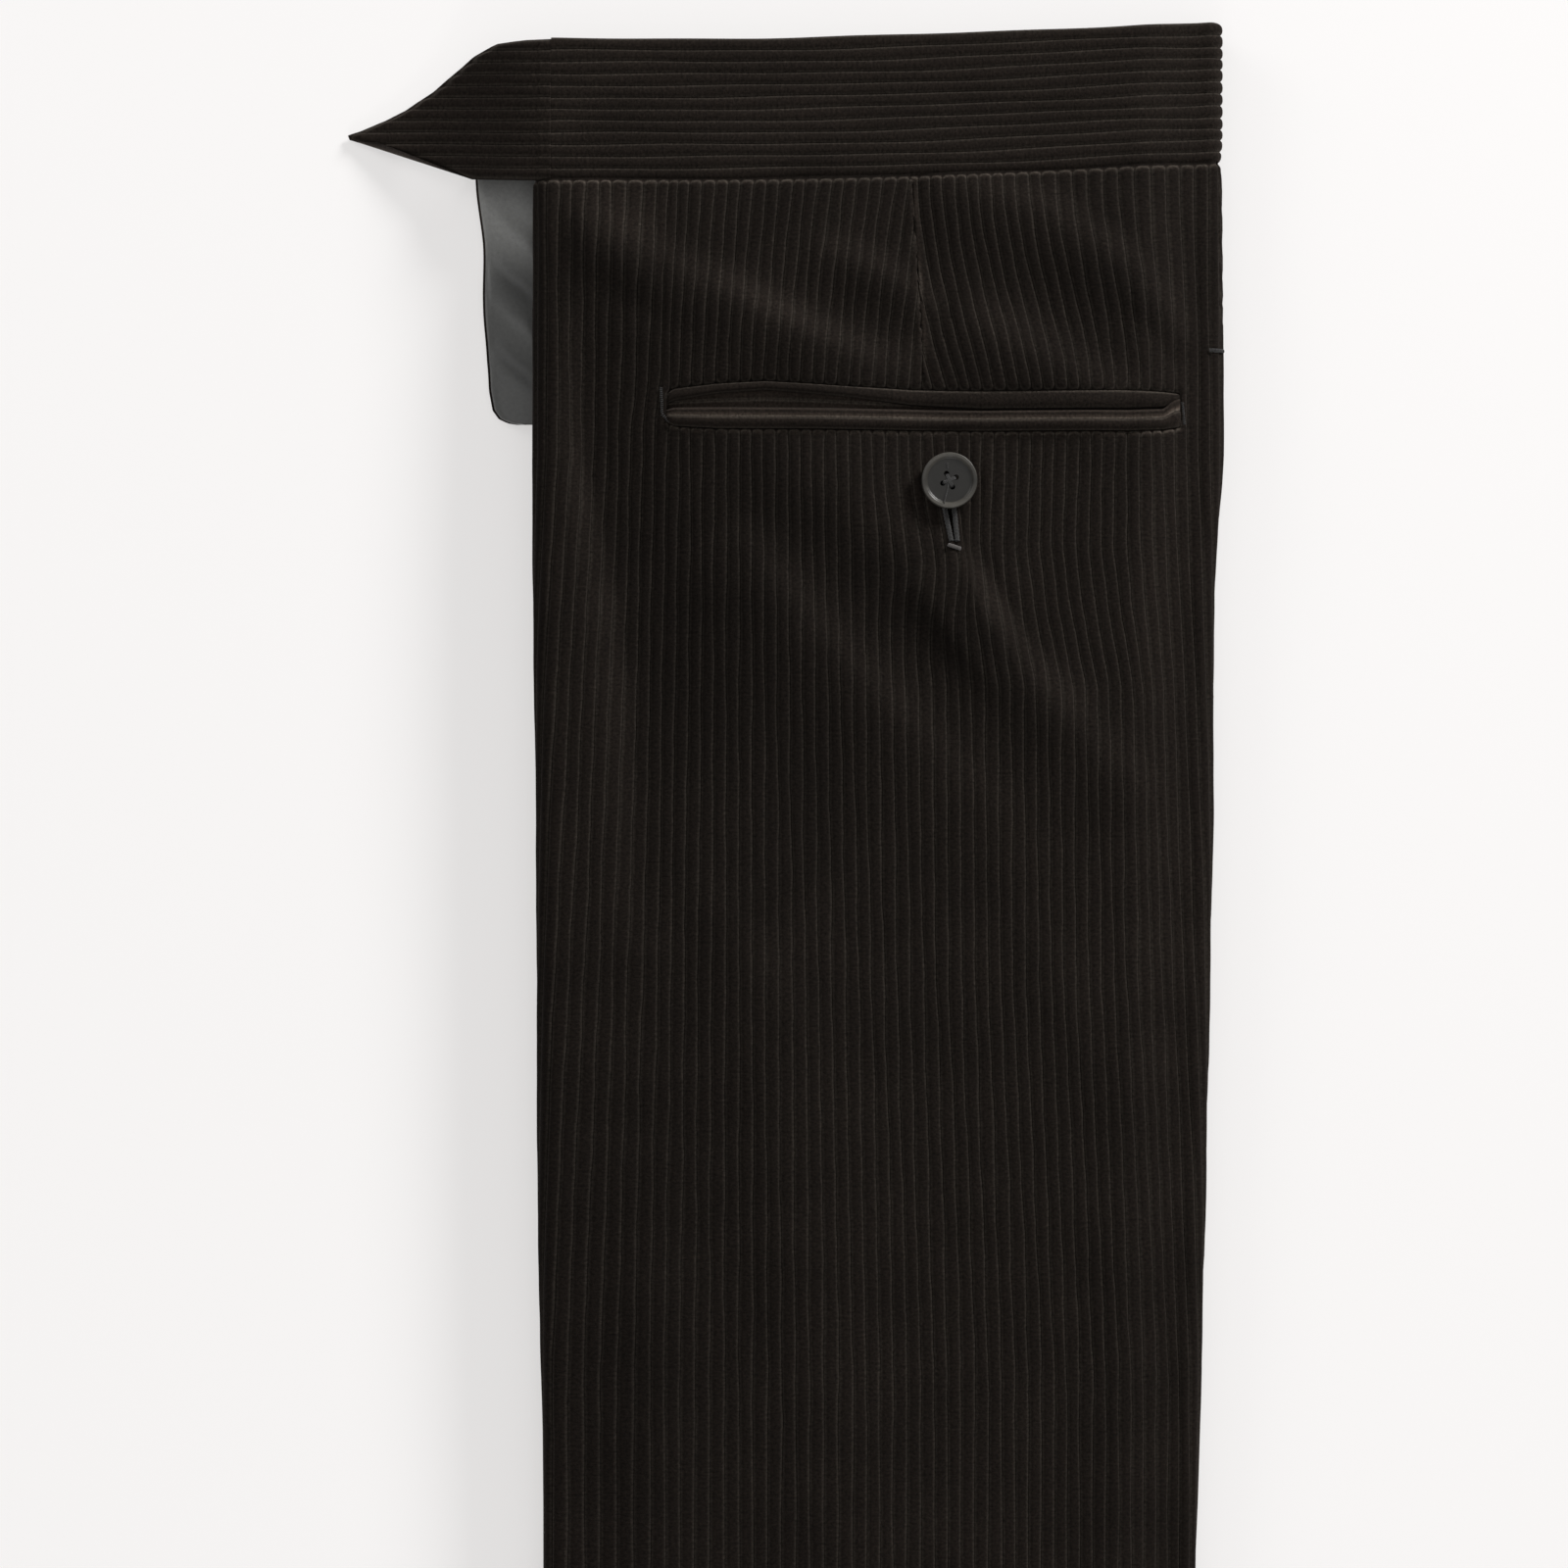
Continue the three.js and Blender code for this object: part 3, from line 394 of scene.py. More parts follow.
def new_grid(name, points, uv):
    """A grid primitive whose points are moved to their places; uv is in millimetres along and across it."""
    rows, columns = points.shape[0] - 1, points.shape[1] - 1
    bpy.ops.object.select_all(action="DESELECT")
    bpy.ops.mesh.primitive_grid_add(x_subdivisions=columns, y_subdivisions=rows, size=2)
    obj = bpy.context.active_object
    obj.name = obj.data.name = name
    mesh = obj.data
    co = np.zeros(len(mesh.vertices) * 3)
    mesh.vertices.foreach_get("co", co)
    co = co.reshape(-1, 3)
    i = np.rint((co[:, 0] + 1) / 2 * columns).astype(int)
    j = np.rint((co[:, 1] + 1) / 2 * rows).astype(int)
    mesh.vertices.foreach_set("co", (points[j, i] * MM).ravel())
    corner = np.zeros(len(mesh.loops), int)
    mesh.loops.foreach_get("vertex_index", corner)
    layer = mesh.uv_layers.active or mesh.uv_layers.new(name="UVMap")
    layer.data.foreach_set("uv", uv[j, i][corner].ravel())
    mesh.update()
    return obj, i, j


def mark(obj, name, values):
    """Keeps a value for each point, for the materials to read."""
    layer = obj.data.attributes.new(name=name, type="FLOAT", domain="POINT")
    layer.data.foreach_set("value", np.asarray(values, float).ravel())


def hand_over(obj, material, slot, *nodes):
    """Gives a finished piece its material, smooth shading and its body, and hides the CAD nodes that it stands for."""
    obj.data.materials.clear()
    obj.data.materials.append(material)
    for polygon in obj.data.polygons:
        polygon.use_smooth = True
    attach(obj, "root")
    if nodes:
        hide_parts(*nodes)
    return obj


# Materials

def socket(group, name, kind, direction, default=None):
    item = group.interface.new_socket(name=name, in_out=direction, socket_type=kind)
    if default is not None:
        item.default_value = default
    return item


def node(tree, kind, **inputs):
    """A new node with its unlinked inputs set by name."""
    made = tree.nodes.new(kind)
    for name, value in inputs.items():
        made.inputs[name.replace("_", " ")].default_value = value
    return made


def noise(tree, vector, scale, detail=2.0, roughness=0.5):
    made = node(tree, "ShaderNodeTexNoise", Scale=scale, Detail=detail, Roughness=roughness)
    tree.links.new(vector, made.inputs["Vector"])
    return made.outputs["Fac"]


def stretch(tree, vector, scale):
    made = node(tree, "ShaderNodeMapping")
    made.inputs["Scale"].default_value = scale
    tree.links.new(vector, made.inputs["Vector"])
    return made.outputs["Vector"]


def span(tree, value, from_min, from_max, to_min, to_max):
    made = node(tree, "ShaderNodeMapRange")
    for name, number in zip(("From Min", "From Max", "To Min", "To Max"), (from_min, from_max, to_min, to_max)):
        made.inputs[name].default_value = number
    tree.links.new(value, made.inputs["Value"])
    return made.outputs["Result"]


def math_node(tree, operation, a, b):
    made = tree.nodes.new("ShaderNodeMath")
    made.operation = operation
    for place, value in enumerate((a, b)):
        if isinstance(value, (int, float)):
            made.inputs[place].default_value = value
        else:
            tree.links.new(value, made.inputs[place])
    return made.outputs[0]


def mix_colours(tree, factor, a, b, blend="MIX"):
    made = tree.nodes.new("ShaderNodeMix")
    made.data_type = "RGBA"
    made.blend_type = blend
    for name, value in (("Factor", factor), ("A", a), ("B", b)):
        places = [s for s in made.inputs if s.name == name and (name == "Factor") == (s.type == "VALUE")]
        place = [s for s in places if s.type in ("VALUE", "RGBA")][0]
        if isinstance(value, (int, float, tuple)):
            place.default_value = value
        else:
            tree.links.new(value, place)
    return [s for s in made.outputs if s.type == "RGBA"][0]


def pile_group():
    """Cotton pile: patches of nap, fine fibre speckle, short marks across the wale; painted sheen makes the wale
    flanks lighter and painted shade makes the ground between the wales darker.
    """
    group = bpy.data.node_groups.get("Cotton Pile")
    if group:
        return group
    group = bpy.data.node_groups.new("Cotton Pile", "ShaderNodeTree")
    socket(group, "Cloth", "NodeSocketColor", "INPUT", (0.012, 0.01, 0.008, 1))
    socket(group, "Painted Flank Sheen", "NodeSocketColor", "INPUT", (0.02, 0.016, 0.013, 1))
    socket(group, "Painted Groove Shade", "NodeSocketColor", "INPUT", (0.004, 0.003, 0.003, 1))
    socket(group, "Vector", "NodeSocketVector", "INPUT")
    socket(group, "Rise", "NodeSocketFloat", "INPUT", 1.0)
    socket(group, "Shade", "NodeSocketFloat", "INPUT", 1.0)
    socket(group, "Color", "NodeSocketColor", "OUTPUT")
    socket(group, "Height", "NodeSocketFloat", "OUTPUT")
    inside = group.nodes.new("NodeGroupInput").outputs
    out = group.nodes.new("NodeGroupOutput").inputs
    vector = inside["Vector"]
    patches = span(group, noise(group, vector, 0.045, 3.0), 0.3, 0.7, 0.86, 1.14)
    speckle = span(group, noise(group, vector, 1.3, 4.0, 0.75), 0.32, 0.68, 0.45, 1.55)
    marks = span(group, noise(group, stretch(group, vector, (0.4, 1.6, 1.0)), 1.0, 3.0), 0.3, 0.7, 0.84, 1.16)
    shade = math_node(group, "MULTIPLY", math_node(group, "MULTIPLY", patches, speckle), marks)
    shade = math_node(group, "MULTIPLY", shade, inside["Shade"])
    # Painted shade in the grooves and painted sheen on the wale flanks, chosen by the wale's rise.
    clear_of_groove_shade = span(group, inside["Rise"], 0.0, 0.3, 0.0, 1.0)
    flank_sheen_mask = span(group, inside["Rise"], 0.45, 0.85, 1.0, 0.0)
    painted_light_tone = mix_colours(group, flank_sheen_mask, inside["Cloth"], inside["Painted Flank Sheen"])
    cloth = mix_colours(group, clear_of_groove_shade, inside["Painted Groove Shade"], painted_light_tone)
    scale = group.nodes.new("ShaderNodeCombineXYZ")
    for place in range(3):
        group.links.new(shade, scale.inputs[place])
    group.links.new(mix_colours(group, 1.0, cloth, scale.outputs[0], "MULTIPLY"), out["Color"])
    fibre = math_node(group, "MULTIPLY", noise(group, vector, 4.5, 2.0, 0.6), 0.7)
    tuft = math_node(group, "MULTIPLY", noise(group, stretch(group, vector, (0.6, 1.8, 1.0)), 1.0, 1.0), 0.6)
    group.links.new(math_node(group, "ADD", fibre, tuft), out["Height"])
    return group


def base_material(name):
    material = bpy.data.materials.new(name)
    material.use_nodes = True
    tree = material.node_tree
    return material, tree, tree.nodes["Principled BSDF"]


def bump(tree, height, shader, strength, distance):
    made = node(tree, "ShaderNodeBump", Strength=strength, Distance=distance * MM)
    tree.links.new(height, made.inputs["Height"])
    tree.links.new(made.outputs["Normal"], shader.inputs["Normal"])


def corduroy():
    """Dark brown wide-wale corduroy: pile on the wales, a soft sheen where it turns away, with painted sheen on the
    wale flanks and painted shade in the grooves.
    """
    found = bpy.data.materials.get("dark brown corduroy")
    if found:
        return found
    looks = bpy.context.scene.trousers_finish
    material, tree, shader = base_material("dark brown corduroy")
    uv = tree.nodes.new("ShaderNodeUVMap")
    rise = tree.nodes.new("ShaderNodeAttribute")
    rise.attribute_name = "rise"
    shade = tree.nodes.new("ShaderNodeAttribute")
    shade.attribute_name = "shade"
    pile = tree.nodes.new("ShaderNodeGroup")
    pile.node_tree = pile_group()
    pile.inputs["Cloth"].default_value = (*looks.cloth, 1)
    # Painted sheen: the flanks are about 2.4 times lighter; painted shade: the grooves are 0.7 times as light.
    pile.inputs["Painted Flank Sheen"].default_value = (*[c * k for c, k in zip(looks.cloth, (2.25, 2.45, 2.5))], 1)
    pile.inputs["Painted Groove Shade"].default_value = (*[c * 0.7 for c in looks.cloth], 1)
    tree.links.new(uv.outputs["UV"], pile.inputs["Vector"])
    tree.links.new(rise.outputs["Fac"], pile.inputs["Rise"])
    tree.links.new(shade.outputs["Fac"], pile.inputs["Shade"])
    tree.links.new(pile.outputs["Color"], shader.inputs["Base Color"])
    shader.inputs["Roughness"].default_value = 0.85
    shader.inputs["Specular IOR Level"].default_value = 0.04
    shader.inputs["Sheen Weight"].default_value = 0.06
    shader.inputs["Sheen Roughness"].default_value = 0.42
    shader.inputs["Sheen Tint"].default_value = (0.62, 0.52, 0.46, 1)
    bump(tree, pile.outputs["Height"], shader, 0.55, 0.35)
    return material


def shade_group():
    """A colour made lighter or darker by the mesh's own shade."""
    group = bpy.data.node_groups.get("Mesh Shade")
    if group:
        return group
    group = bpy.data.node_groups.new("Mesh Shade", "ShaderNodeTree")
    socket(group, "Color", "NodeSocketColor", "INPUT", (0.1, 0.1, 0.1, 1))
    socket(group, "Shade", "NodeSocketFloat", "INPUT", 1.0)
    socket(group, "Color", "NodeSocketColor", "OUTPUT")
    inside = group.nodes.new("NodeGroupInput").outputs
    out = group.nodes.new("NodeGroupOutput").inputs
    scale = group.nodes.new("ShaderNodeCombineXYZ")
    for place in range(3):
        group.links.new(inside["Shade"], scale.inputs[place])
    group.links.new(mix_colours(group, 1.0, inside["Color"], scale.outputs[0], "MULTIPLY"), out["Color"])
    return group


def shaded(tree, colour):
    """The colour through a Mesh Shade node fed by the mesh's shade values."""
    shade = tree.nodes.new("ShaderNodeAttribute")
    shade.attribute_name = "shade"
    made = tree.nodes.new("ShaderNodeGroup")
    made.node_tree = shade_group()
    tree.links.new(colour, made.inputs["Color"])
    tree.links.new(shade.outputs["Fac"], made.inputs["Shade"])
    return made.outputs["Color"]


def satin():
    """Grey satin lining: smooth, with a fine twill and a soft gloss."""
    looks = bpy.context.scene.trousers_finish
    material, tree, shader = base_material("grey satin lining")
    uv = tree.nodes.new("ShaderNodeUVMap")
    twill = tree.nodes.new("ShaderNodeTexWave")
    twill.wave_type = "BANDS"
    twill.bands_direction = "DIAGONAL"
    twill.inputs["Scale"].default_value = 1.4
    twill.inputs["Distortion"].default_value = 0.6
    tree.links.new(uv.outputs["UV"], twill.inputs["Vector"])
    cloudy = noise(tree, uv.outputs["UV"], 0.9, 4.0, 0.7)
    grain = mix_colours(tree, span(tree, cloudy, 0.3, 0.7, 0.0, 1.0), (*[c * 0.86 for c in looks.lining], 1),
                        (*[min(1, c * 1.14) for c in looks.lining], 1))
    tree.links.new(shaded(tree, grain), shader.inputs["Base Color"])
    tree.links.new(span(tree, twill.outputs["Fac"], 0, 1, 0.3, 0.42), shader.inputs["Roughness"])
    shader.inputs["Sheen Weight"].default_value = 0.2
    bump(tree, twill.outputs["Fac"], shader, 0.12, 0.1)
    return material


def plastic():
    """Dark grey moulded button: satin face with faint swirls."""
    looks = bpy.context.scene.trousers_finish
    material, tree, shader = base_material("dark grey button plastic")
    place = tree.nodes.new("ShaderNodeTexCoord")
    swirl = noise(tree, place.outputs["Object"], 420.0, 4.0, 0.6)
    tone = mix_colours(tree, span(tree, swirl, 0.3, 0.7, 0, 1), (*[c * 0.85 for c in looks.button], 1),
                       (*[c * 1.2 for c in looks.button], 1))
    tree.links.new(shaded(tree, tone), shader.inputs["Base Color"])
    shader.inputs["Specular IOR Level"].default_value = 0.3
    tree.links.new(span(tree, swirl, 0.2, 0.8, 0.3, 0.42), shader.inputs["Roughness"])
    bump(tree, noise(tree, place.outputs["Object"], 1500.0, 2.0), shader, 0.15, 0.05)
    return material


def thread_material(name, colour, lift):
    """Spun sewing thread: tiny twist marks along its length."""
    found = bpy.data.materials.get(name)
    if found:
        return found
    material, tree, shader = base_material(name)
    place = tree.nodes.new("ShaderNodeTexCoord")
    twist = noise(tree, place.outputs["Object"], 3200.0, 2.0, 0.6)
    tone = mix_colours(tree, span(tree, twist, 0.3, 0.7, 0, 1), (*[c * 0.7 for c in colour], 1),
                       (*[min(1, c * lift) for c in colour], 1))
    tree.links.new(tone, shader.inputs["Base Color"])
    shader.inputs["Roughness"].default_value = 0.7
    shader.inputs["Sheen Weight"].default_value = 0.25
    bump(tree, twist, shader, 0.4, 0.1)
    return material


def mesh_uv(first, second):
    return np.stack([first, second], axis=2)


def slit_depth(x, y):
    """1 inside the slit of the buttonhole, 0 outside it."""
    t = np.clip((HOLE_SLIT["top_y"] - y) / (HOLE_SLIT["top_y"] - HOLE_SLIT["low_y"]), 0, 1)
    centre = HOLE_SLIT["top_x"] + t * (HOLE_SLIT["low_x"] - HOLE_SLIT["top_x"])
    half = HOLE_SLIT["top_half"] + t * (HOLE_SLIT["low_half"] - HOLE_SLIT["top_half"])
    inside = smooth((half + 0.3 - np.abs(x - centre)) / 0.5)
    return inside * smooth((y - HOLE_SLIT["low_y"] + 1) / 1.5) * smooth((405 - y) / 3)


def seam_turn(y):
    """Angle at which the side seam lies on the turned edge: it comes onto the top above the pocket."""
    return math.pi / 2 - 0.75 * smooth((y - 446) / 12)


class TrousersSizes(PropertyGroup):
    """Sizes of the cloth that can be changed without the frame."""

    rib: FloatProperty(
        name="Wale height", description="How far a wale stands above the ground of the cloth",
        default=0.7 * MM, min=0.2 * MM, max=1.5 * MM, unit="LENGTH", precision=5)
    nap: FloatProperty(
        name="Uneven nap", description="How much the height of the wales varies over the cloth",
        default=0.12, min=0.0, max=0.5, subtype="FACTOR")
    thread: FloatProperty(
        name="Thread thickness", description="Radius of the sewing thread",
        default=0.17 * MM, min=0.05 * MM, max=0.4 * MM, unit="LENGTH", precision=5)


class TrousersFinish(PropertyGroup):
    """Colours of the materials, as linear values."""

    cloth: FloatVectorProperty(name="Corduroy", description="Colour of the pile", subtype="COLOR", size=3,
                               default=(0.008, 0.0061, 0.0049), min=0, max=1)
    lining: FloatVectorProperty(name="Lining", description="Colour of the satin lining", subtype="COLOR",
                                size=3, default=(0.075, 0.075, 0.072), min=0, max=1)
    button: FloatVectorProperty(name="Button", description="Colour of the button", subtype="COLOR", size=3,
                                default=(0.0105, 0.0097, 0.0083), min=0, max=1)
    thread: FloatVectorProperty(name="Thread", description="Colour of the sewing thread", subtype="COLOR",
                                size=3, default=(0.0075, 0.0066, 0.006), min=0, max=1)


class MESH_OT_trousers_back(Operator):
    """Make the right back: wales that lean into the dart, folds, pocket mouth and turned hem"""

    bl_idname = "mesh.trousers_back"
    bl_label = "Right back"

    def execute(self, context):
        sizes = context.scene.trousers_sizes
        rib = sizes.rib / MM
        u = wale_columns(-7, 59)[None, :]
        v = back_rows()[:, None]
        run, eaten = wale_run(u, v)
        y = row_height(v, np.clip(run, -70, 118))
        run, eaten = wale_run(u, y)
        turn = seam_turn(y)
        x, z, tuck, inward = on_path(run, y, seam_turn=turn)
        z = z - DART["dip"] * (1 - np.exp(-eaten / 1.2))
        mouth = smooth((x - POCKET_LEFT + 0.8) / 0.8) * smooth((POCKET_RIGHT + 0.8 - x) / 0.8)
        from_waist = WAIST["y"] - v
        from_upper = np.where(v >= UPPER_LINE - 0.01, v - UPPER_LINE, 9)
        from_lower = np.where(v <= LOWER_LINE + 0.01, LOWER_LINE - v, 9)
        end = np.clip(1 - from_waist / 1.8, 0, 1)
        end = np.maximum(end, mouth * np.clip(1 - np.minimum(from_upper, from_lower) / 1.8, 0, 1))
        press = np.exp(-np.maximum(0, from_waist) / 3.0) * 0.45
        press = press + mouth * 0.5 * np.exp(-np.minimum(from_upper, from_lower) / 2.2)
        z = z - press
        slit = slit_depth(x, y)
        form = rib_form(u, end) * (1 - smooth(eaten / 0.3)) * (1 - smooth(tuck / 3)) * (1 - smooth(inward / 0.6))
        form = form * (1 - slit)
        uneven = 1 + sizes.nap * ripple(u * 3.3, y, 0.7) + 0.06 * np.sin(u * 5.1 + np.sin(y * 0.21 + u) * 2)
        inner = smooth((run + 66) / 6) * smooth((108 - run) / 6) * (1 - slit)
        inner = inner * np.where(y > 429, smooth(np.abs(x - dart_x(y)) / 4), 1)
        points = np.stack([x + inner * wander(u, y), y + 0 * u, z - 0.9 * slit], axis=2)
        out = points + normals(points) * (rib * form * uneven)[:, :, None]
        hem_in = np.array([[0, 0.5, -0.9], [0, 1.6, -1.9], [0, 14, -2.0]])
        edge = np.stack([out[0] * [1, 1, 1] + step for step in hem_in[::-1]])
        out = np.concatenate([edge, out])
        grow = np.concatenate([np.zeros((3, out.shape[1])), form])
        uv = mesh_uv(u * WALE + 0 * out[:, :, 0], out[:, :, 1])
        obj, i, j = new_grid("back_right_cloth", out, uv)
        mark(obj, "rise", grow[j, i])
        # The right back's painted light and shade: the slope and patch tone, and painted shade that darkens the cloth
        # towards the left fold, the side turned from the light.
        shade = painted_light_tone(out[:, :, 0], out[:, :, 1]) * (1 - 0.3 * smooth((FOLD_LINE_X + 5 - out[:, :, 0]) / 4))
        # Painted highlights: the wale ends just below the waistband seam and below the pocket's lower seam are painted
        # up to 2.3 and 3.2 times lighter.
        shade[3:] *= 1 + 1.3 * np.exp(-(((from_waist - 0.6) / 0.55) ** 2))
        shade[3:] *= 1 + 2.2 * mouth * np.exp(-(((from_lower - 0.6) / 0.6) ** 2))
        # Painted highlight: a light line painted just right of the dart, along its length.
        lip = out[:, :, 0] - dart_x(out[:, :, 1])
        below_waist = smooth((out[:, :, 1] - 434) / 8)
        shade *= 1 + 0.7 * np.exp(-(((lip - 0.8) / 0.7) ** 2)) * below_waist * (1 + 0.6 * np.sin(out[:, :, 1] / 2.6))
        mark(obj, "shade", shade[j, i])
        self.open_mouth(obj)
        hand_over(obj, corduroy(), "corduroy", "back_right")
        return {"FINISHED"}

    def open_mouth(self, obj):
        """Cuts the pocket mouth and turns its two long edges down."""
        mesh = bmesh.new()
        mesh.from_mesh(obj.data)
        inside = []
        for face in mesh.faces:
            c = face.calc_center_median() / MM
            lower = np.interp(c.x, POCKET_LINES["x"], POCKET_LINES["lower"])
            upper = np.interp(c.x, POCKET_LINES["x"], POCKET_LINES["upper"])
            if c.z > 12 and lower < c.y < upper and in_mouth(c.x):
                inside.append(face)
        bmesh.ops.delete(mesh, geom=inside, context="FACES")
        rim = [e for e in mesh.edges if e.is_boundary and self.at_mouth(e)]
        made = bmesh.ops.extrude_edge_only(mesh, edges=rim)["geom"]
        for point in [g for g in made if isinstance(g, bmesh.types.BMVert)]:
            point.co.z -= 1.8 * MM
        mesh.to_mesh(obj.data)
        mesh.free()

    def at_mouth(self, edge):
        c = (edge.verts[0].co + edge.verts[1].co) / 2 / MM
        return c.z > 12 and 417 < c.y < 435 and POCKET_LEFT - 2 < c.x < POCKET_RIGHT + 2


class MESH_OT_trousers_front(Operator):
    """Make the right front: it leaves the side seam, turns under and runs back below the right leg"""

    bl_idname = "mesh.trousers_front"
    bl_label = "Right front"

    def execute(self, context):
        rib = context.scene.trousers_sizes.rib / MM
        y = np.concatenate([np.linspace(-HALF_LENGTH + 0.8, 150, 50), np.linspace(156, 488, 96),
                            [489.2, 490.2, 490.9, 491.5, 492.0, 493.4, 495]])[:, None]
        s = outline(y)
        start = seam_turn(y)
        arc = np.concatenate([[-2.4, -1.2, 0.0], np.linspace(0.25, 14, 56)])[None, :]
        length = np.maximum(0, arc)
        angle = np.minimum(start + 0.06 + length / s["rr"], math.pi)
        under = np.maximum(0, length - (math.pi - start - 0.06) * s["rr"])
        x = s["right_x"] + s["rr"] * np.sin(angle) - np.minimum(under, 9)
        z = s["low_right"] + s["rr"] * (1 + np.cos(angle))
        inward = np.maximum(0, -arc)
        x = x - inward * np.sin(start)
        z = z - inward * np.cos(start)
        x = np.concatenate([x, s["right_x"] - 9 + (s["left_x"] + 4 - s["right_x"] + 9) * np.linspace(0.05, 1, 20)], axis=1)
        floor = s["low_right"] + (s["low_left"] - s["low_right"]) * np.linspace(0.05, 1, 20)
        z = np.concatenate([z, floor], axis=1)
        y = y + 0 * x
        from_waist = waist_line(118) - y
        arc = np.concatenate([arc[0], 14 + np.linspace(5, 150, 20)])[None, :]
        form = rib_form((arc + 0.34 * y) / WALE, np.clip(1 - from_waist / 1.35, 0, 1))
        form = form * smooth((arc + 0.2) / 0.8) * (1 - smooth((arc - 10) / 4))
        press = 0.45 * np.exp(-np.maximum(0, from_waist) / 3.0)
        points = np.stack([x, y, z], axis=2)[:, ::-1]
        facing = normals(points)
        facing = facing * -np.sign(facing[:, :1, 2:3] + 1e-9)
        out = points + facing * (rib * form - press)[:, ::-1, None]
        edge = np.stack([out[0] + step for step in ([0, 14, 1.9], [0, 1.4, 1.8], [0, 0.2, 0.9])])
        out = np.concatenate([edge, out])
        grow = np.concatenate([np.zeros((3, out.shape[1])), form[:, ::-1]])
        obj, i, j = new_grid("front_right_cloth", out, mesh_uv(arc[:, ::-1] + 0 * out[:, :, 0], out[:, :, 1]))
        mark(obj, "rise", grow[j, i])
        mark(obj, "shade", np.ones(len(i)))
        hand_over(obj, corduroy(), "corduroy", "front_right")
        return {"FINISHED"}


def bulge(t, depth):
    """Half round of a folded layer's edge, from its foot to its crown, as far in from the edge."""
    return depth * (1 - np.sqrt(np.maximum(0, 1 - (2 * t - 1) ** 2)))


class MESH_OT_trousers_left_leg(Operator):
    """Make the left leg and the hidden layers: a flat tube of two layers with an open hem"""

    bl_idname = "mesh.trousers_left_leg"
    bl_label = "Left leg"

    def execute(self, context):
        rib = context.scene.trousers_sizes.rib / MM
        y = np.concatenate([np.linspace(-HALF_LENGTH + 0.5, 150, 50), np.linspace(160, 486.3, 60)])[:, None]
        ring, rise = self.ring(y, rib)
        roll = [(-529.9, 0.9), (-530.0 + 0.6, 1.8), (-528.0, 2.0), (-505.0, 2.2)]
        inside = [self.shrink(ring[0], edge_y, depth) for edge_y, depth in roll[::-1]]
        points = np.concatenate([np.stack(inside), ring])
        grow = np.concatenate([np.zeros((len(roll), ring.shape[1])), rise])
        around = np.cumsum(np.linalg.norm(np.diff(ring[-1], axis=0, prepend=ring[-1][:1]), axis=1))
        uv = mesh_uv(around[None, :] + 0 * points[:, :, 0], points[:, :, 1])
        obj, i, j = new_grid("folded_layers_cloth", points, uv)
        mark(obj, "rise", grow[j, i])
        mark(obj, "shade", np.ones(len(i)))
        self.close(obj)
        hand_over(obj, corduroy(), "corduroy", "folded_layers")
        return {"FINISHED"}

    def ring(self, y, rib):
        """Points all round the two layers at each row, from the middle of the underside, and their wales."""
        s = outline(y)
        high_l, high_r = s["mid_left"] - 0.3, s["mid_right"] - 0.3
        t = np.linspace(0, 1, 22)[None, :]
        uneven = 0.5 + 0.5 * ripple(y, 0 * y, 2.1)
        xs, zs, ribs = [], [], []

        def add(x, z, form):
            x, z, form = np.broadcast_arrays(x, z, form)
            xs.append(x)
            zs.append(z)
            ribs.append(form)

        def side(edge, way, low, high, lag):
            part = t if way > 0 else 1 - t
            x = edge - way * (bulge(part, 2.4) + lag)
            z = low + (high - low) * part
            form = rib_form(part * 2.0 + 0.5 + 0 * y) * smooth((z - 0.4) / 1.2)
            add(x + way * rib * 0.8 * form, z, form)

        bottom = np.linspace(0, 1, 12)[None, 1:-1]
        half = s["mid_right"] / 2
        add(s["left"] + 3 + (s["right"] - s["left"] - 6) * bottom, 0 * y, 0)
        side(s["right"] - 1.0, 1, 0 * y, half, 0.9 * uneven)
        side(s["right"] - 0.9, 1, half, high_r, 0.6 * (1 - uneven))
        add(s["right"] - 3 - (s["right"] - s["left"] - 6) * bottom, high_r + (high_l - high_r) * bottom, 0)
        half = s["mid_left"] / 2
        side(s["left"] + 0.9, -1, half, high_l, 0.6 * uneven)
        side(s["left"] + 1.0, -1, 0 * y, half, 0.9 * (1 - uneven))
        x, z, form = (np.concatenate(part, axis=1) for part in (xs, zs, ribs))
        points = np.stack([x, y + 0 * x, z], axis=2)
        points = np.concatenate([points, points[:, :1]], axis=1)
        return points, np.concatenate([form, form[:, :1]], axis=1)

    def shrink(self, ring, y, depth):
        """The same ring drawn in by a depth, for the inside of the hem."""
        centre = ring.mean(axis=0)
        low, high = ring.min(axis=0), ring.max(axis=0)
        scale = np.array([1 - 2 * depth / (high[0] - low[0]), 1, 1 - 2 * depth / (high[2] - low[2])])
        middle = np.array([centre[0], 0, (low[2] + high[2]) / 2])
        out = middle + (ring - middle) * scale
        out[:, 1] = y
        return out

    def close(self, obj):
        """Joins the two long edges and closes both ends."""
        mesh = bmesh.new()
        mesh.from_mesh(obj.data)
        bmesh.ops.remove_doubles(mesh, verts=mesh.verts, dist=0.01 * MM)
        bmesh.ops.holes_fill(mesh, edges=[e for e in mesh.edges if e.is_boundary], sides=0)
        bmesh.ops.recalc_face_normals(mesh, faces=mesh.faces)
        mesh.to_mesh(obj.data)
        mesh.free()


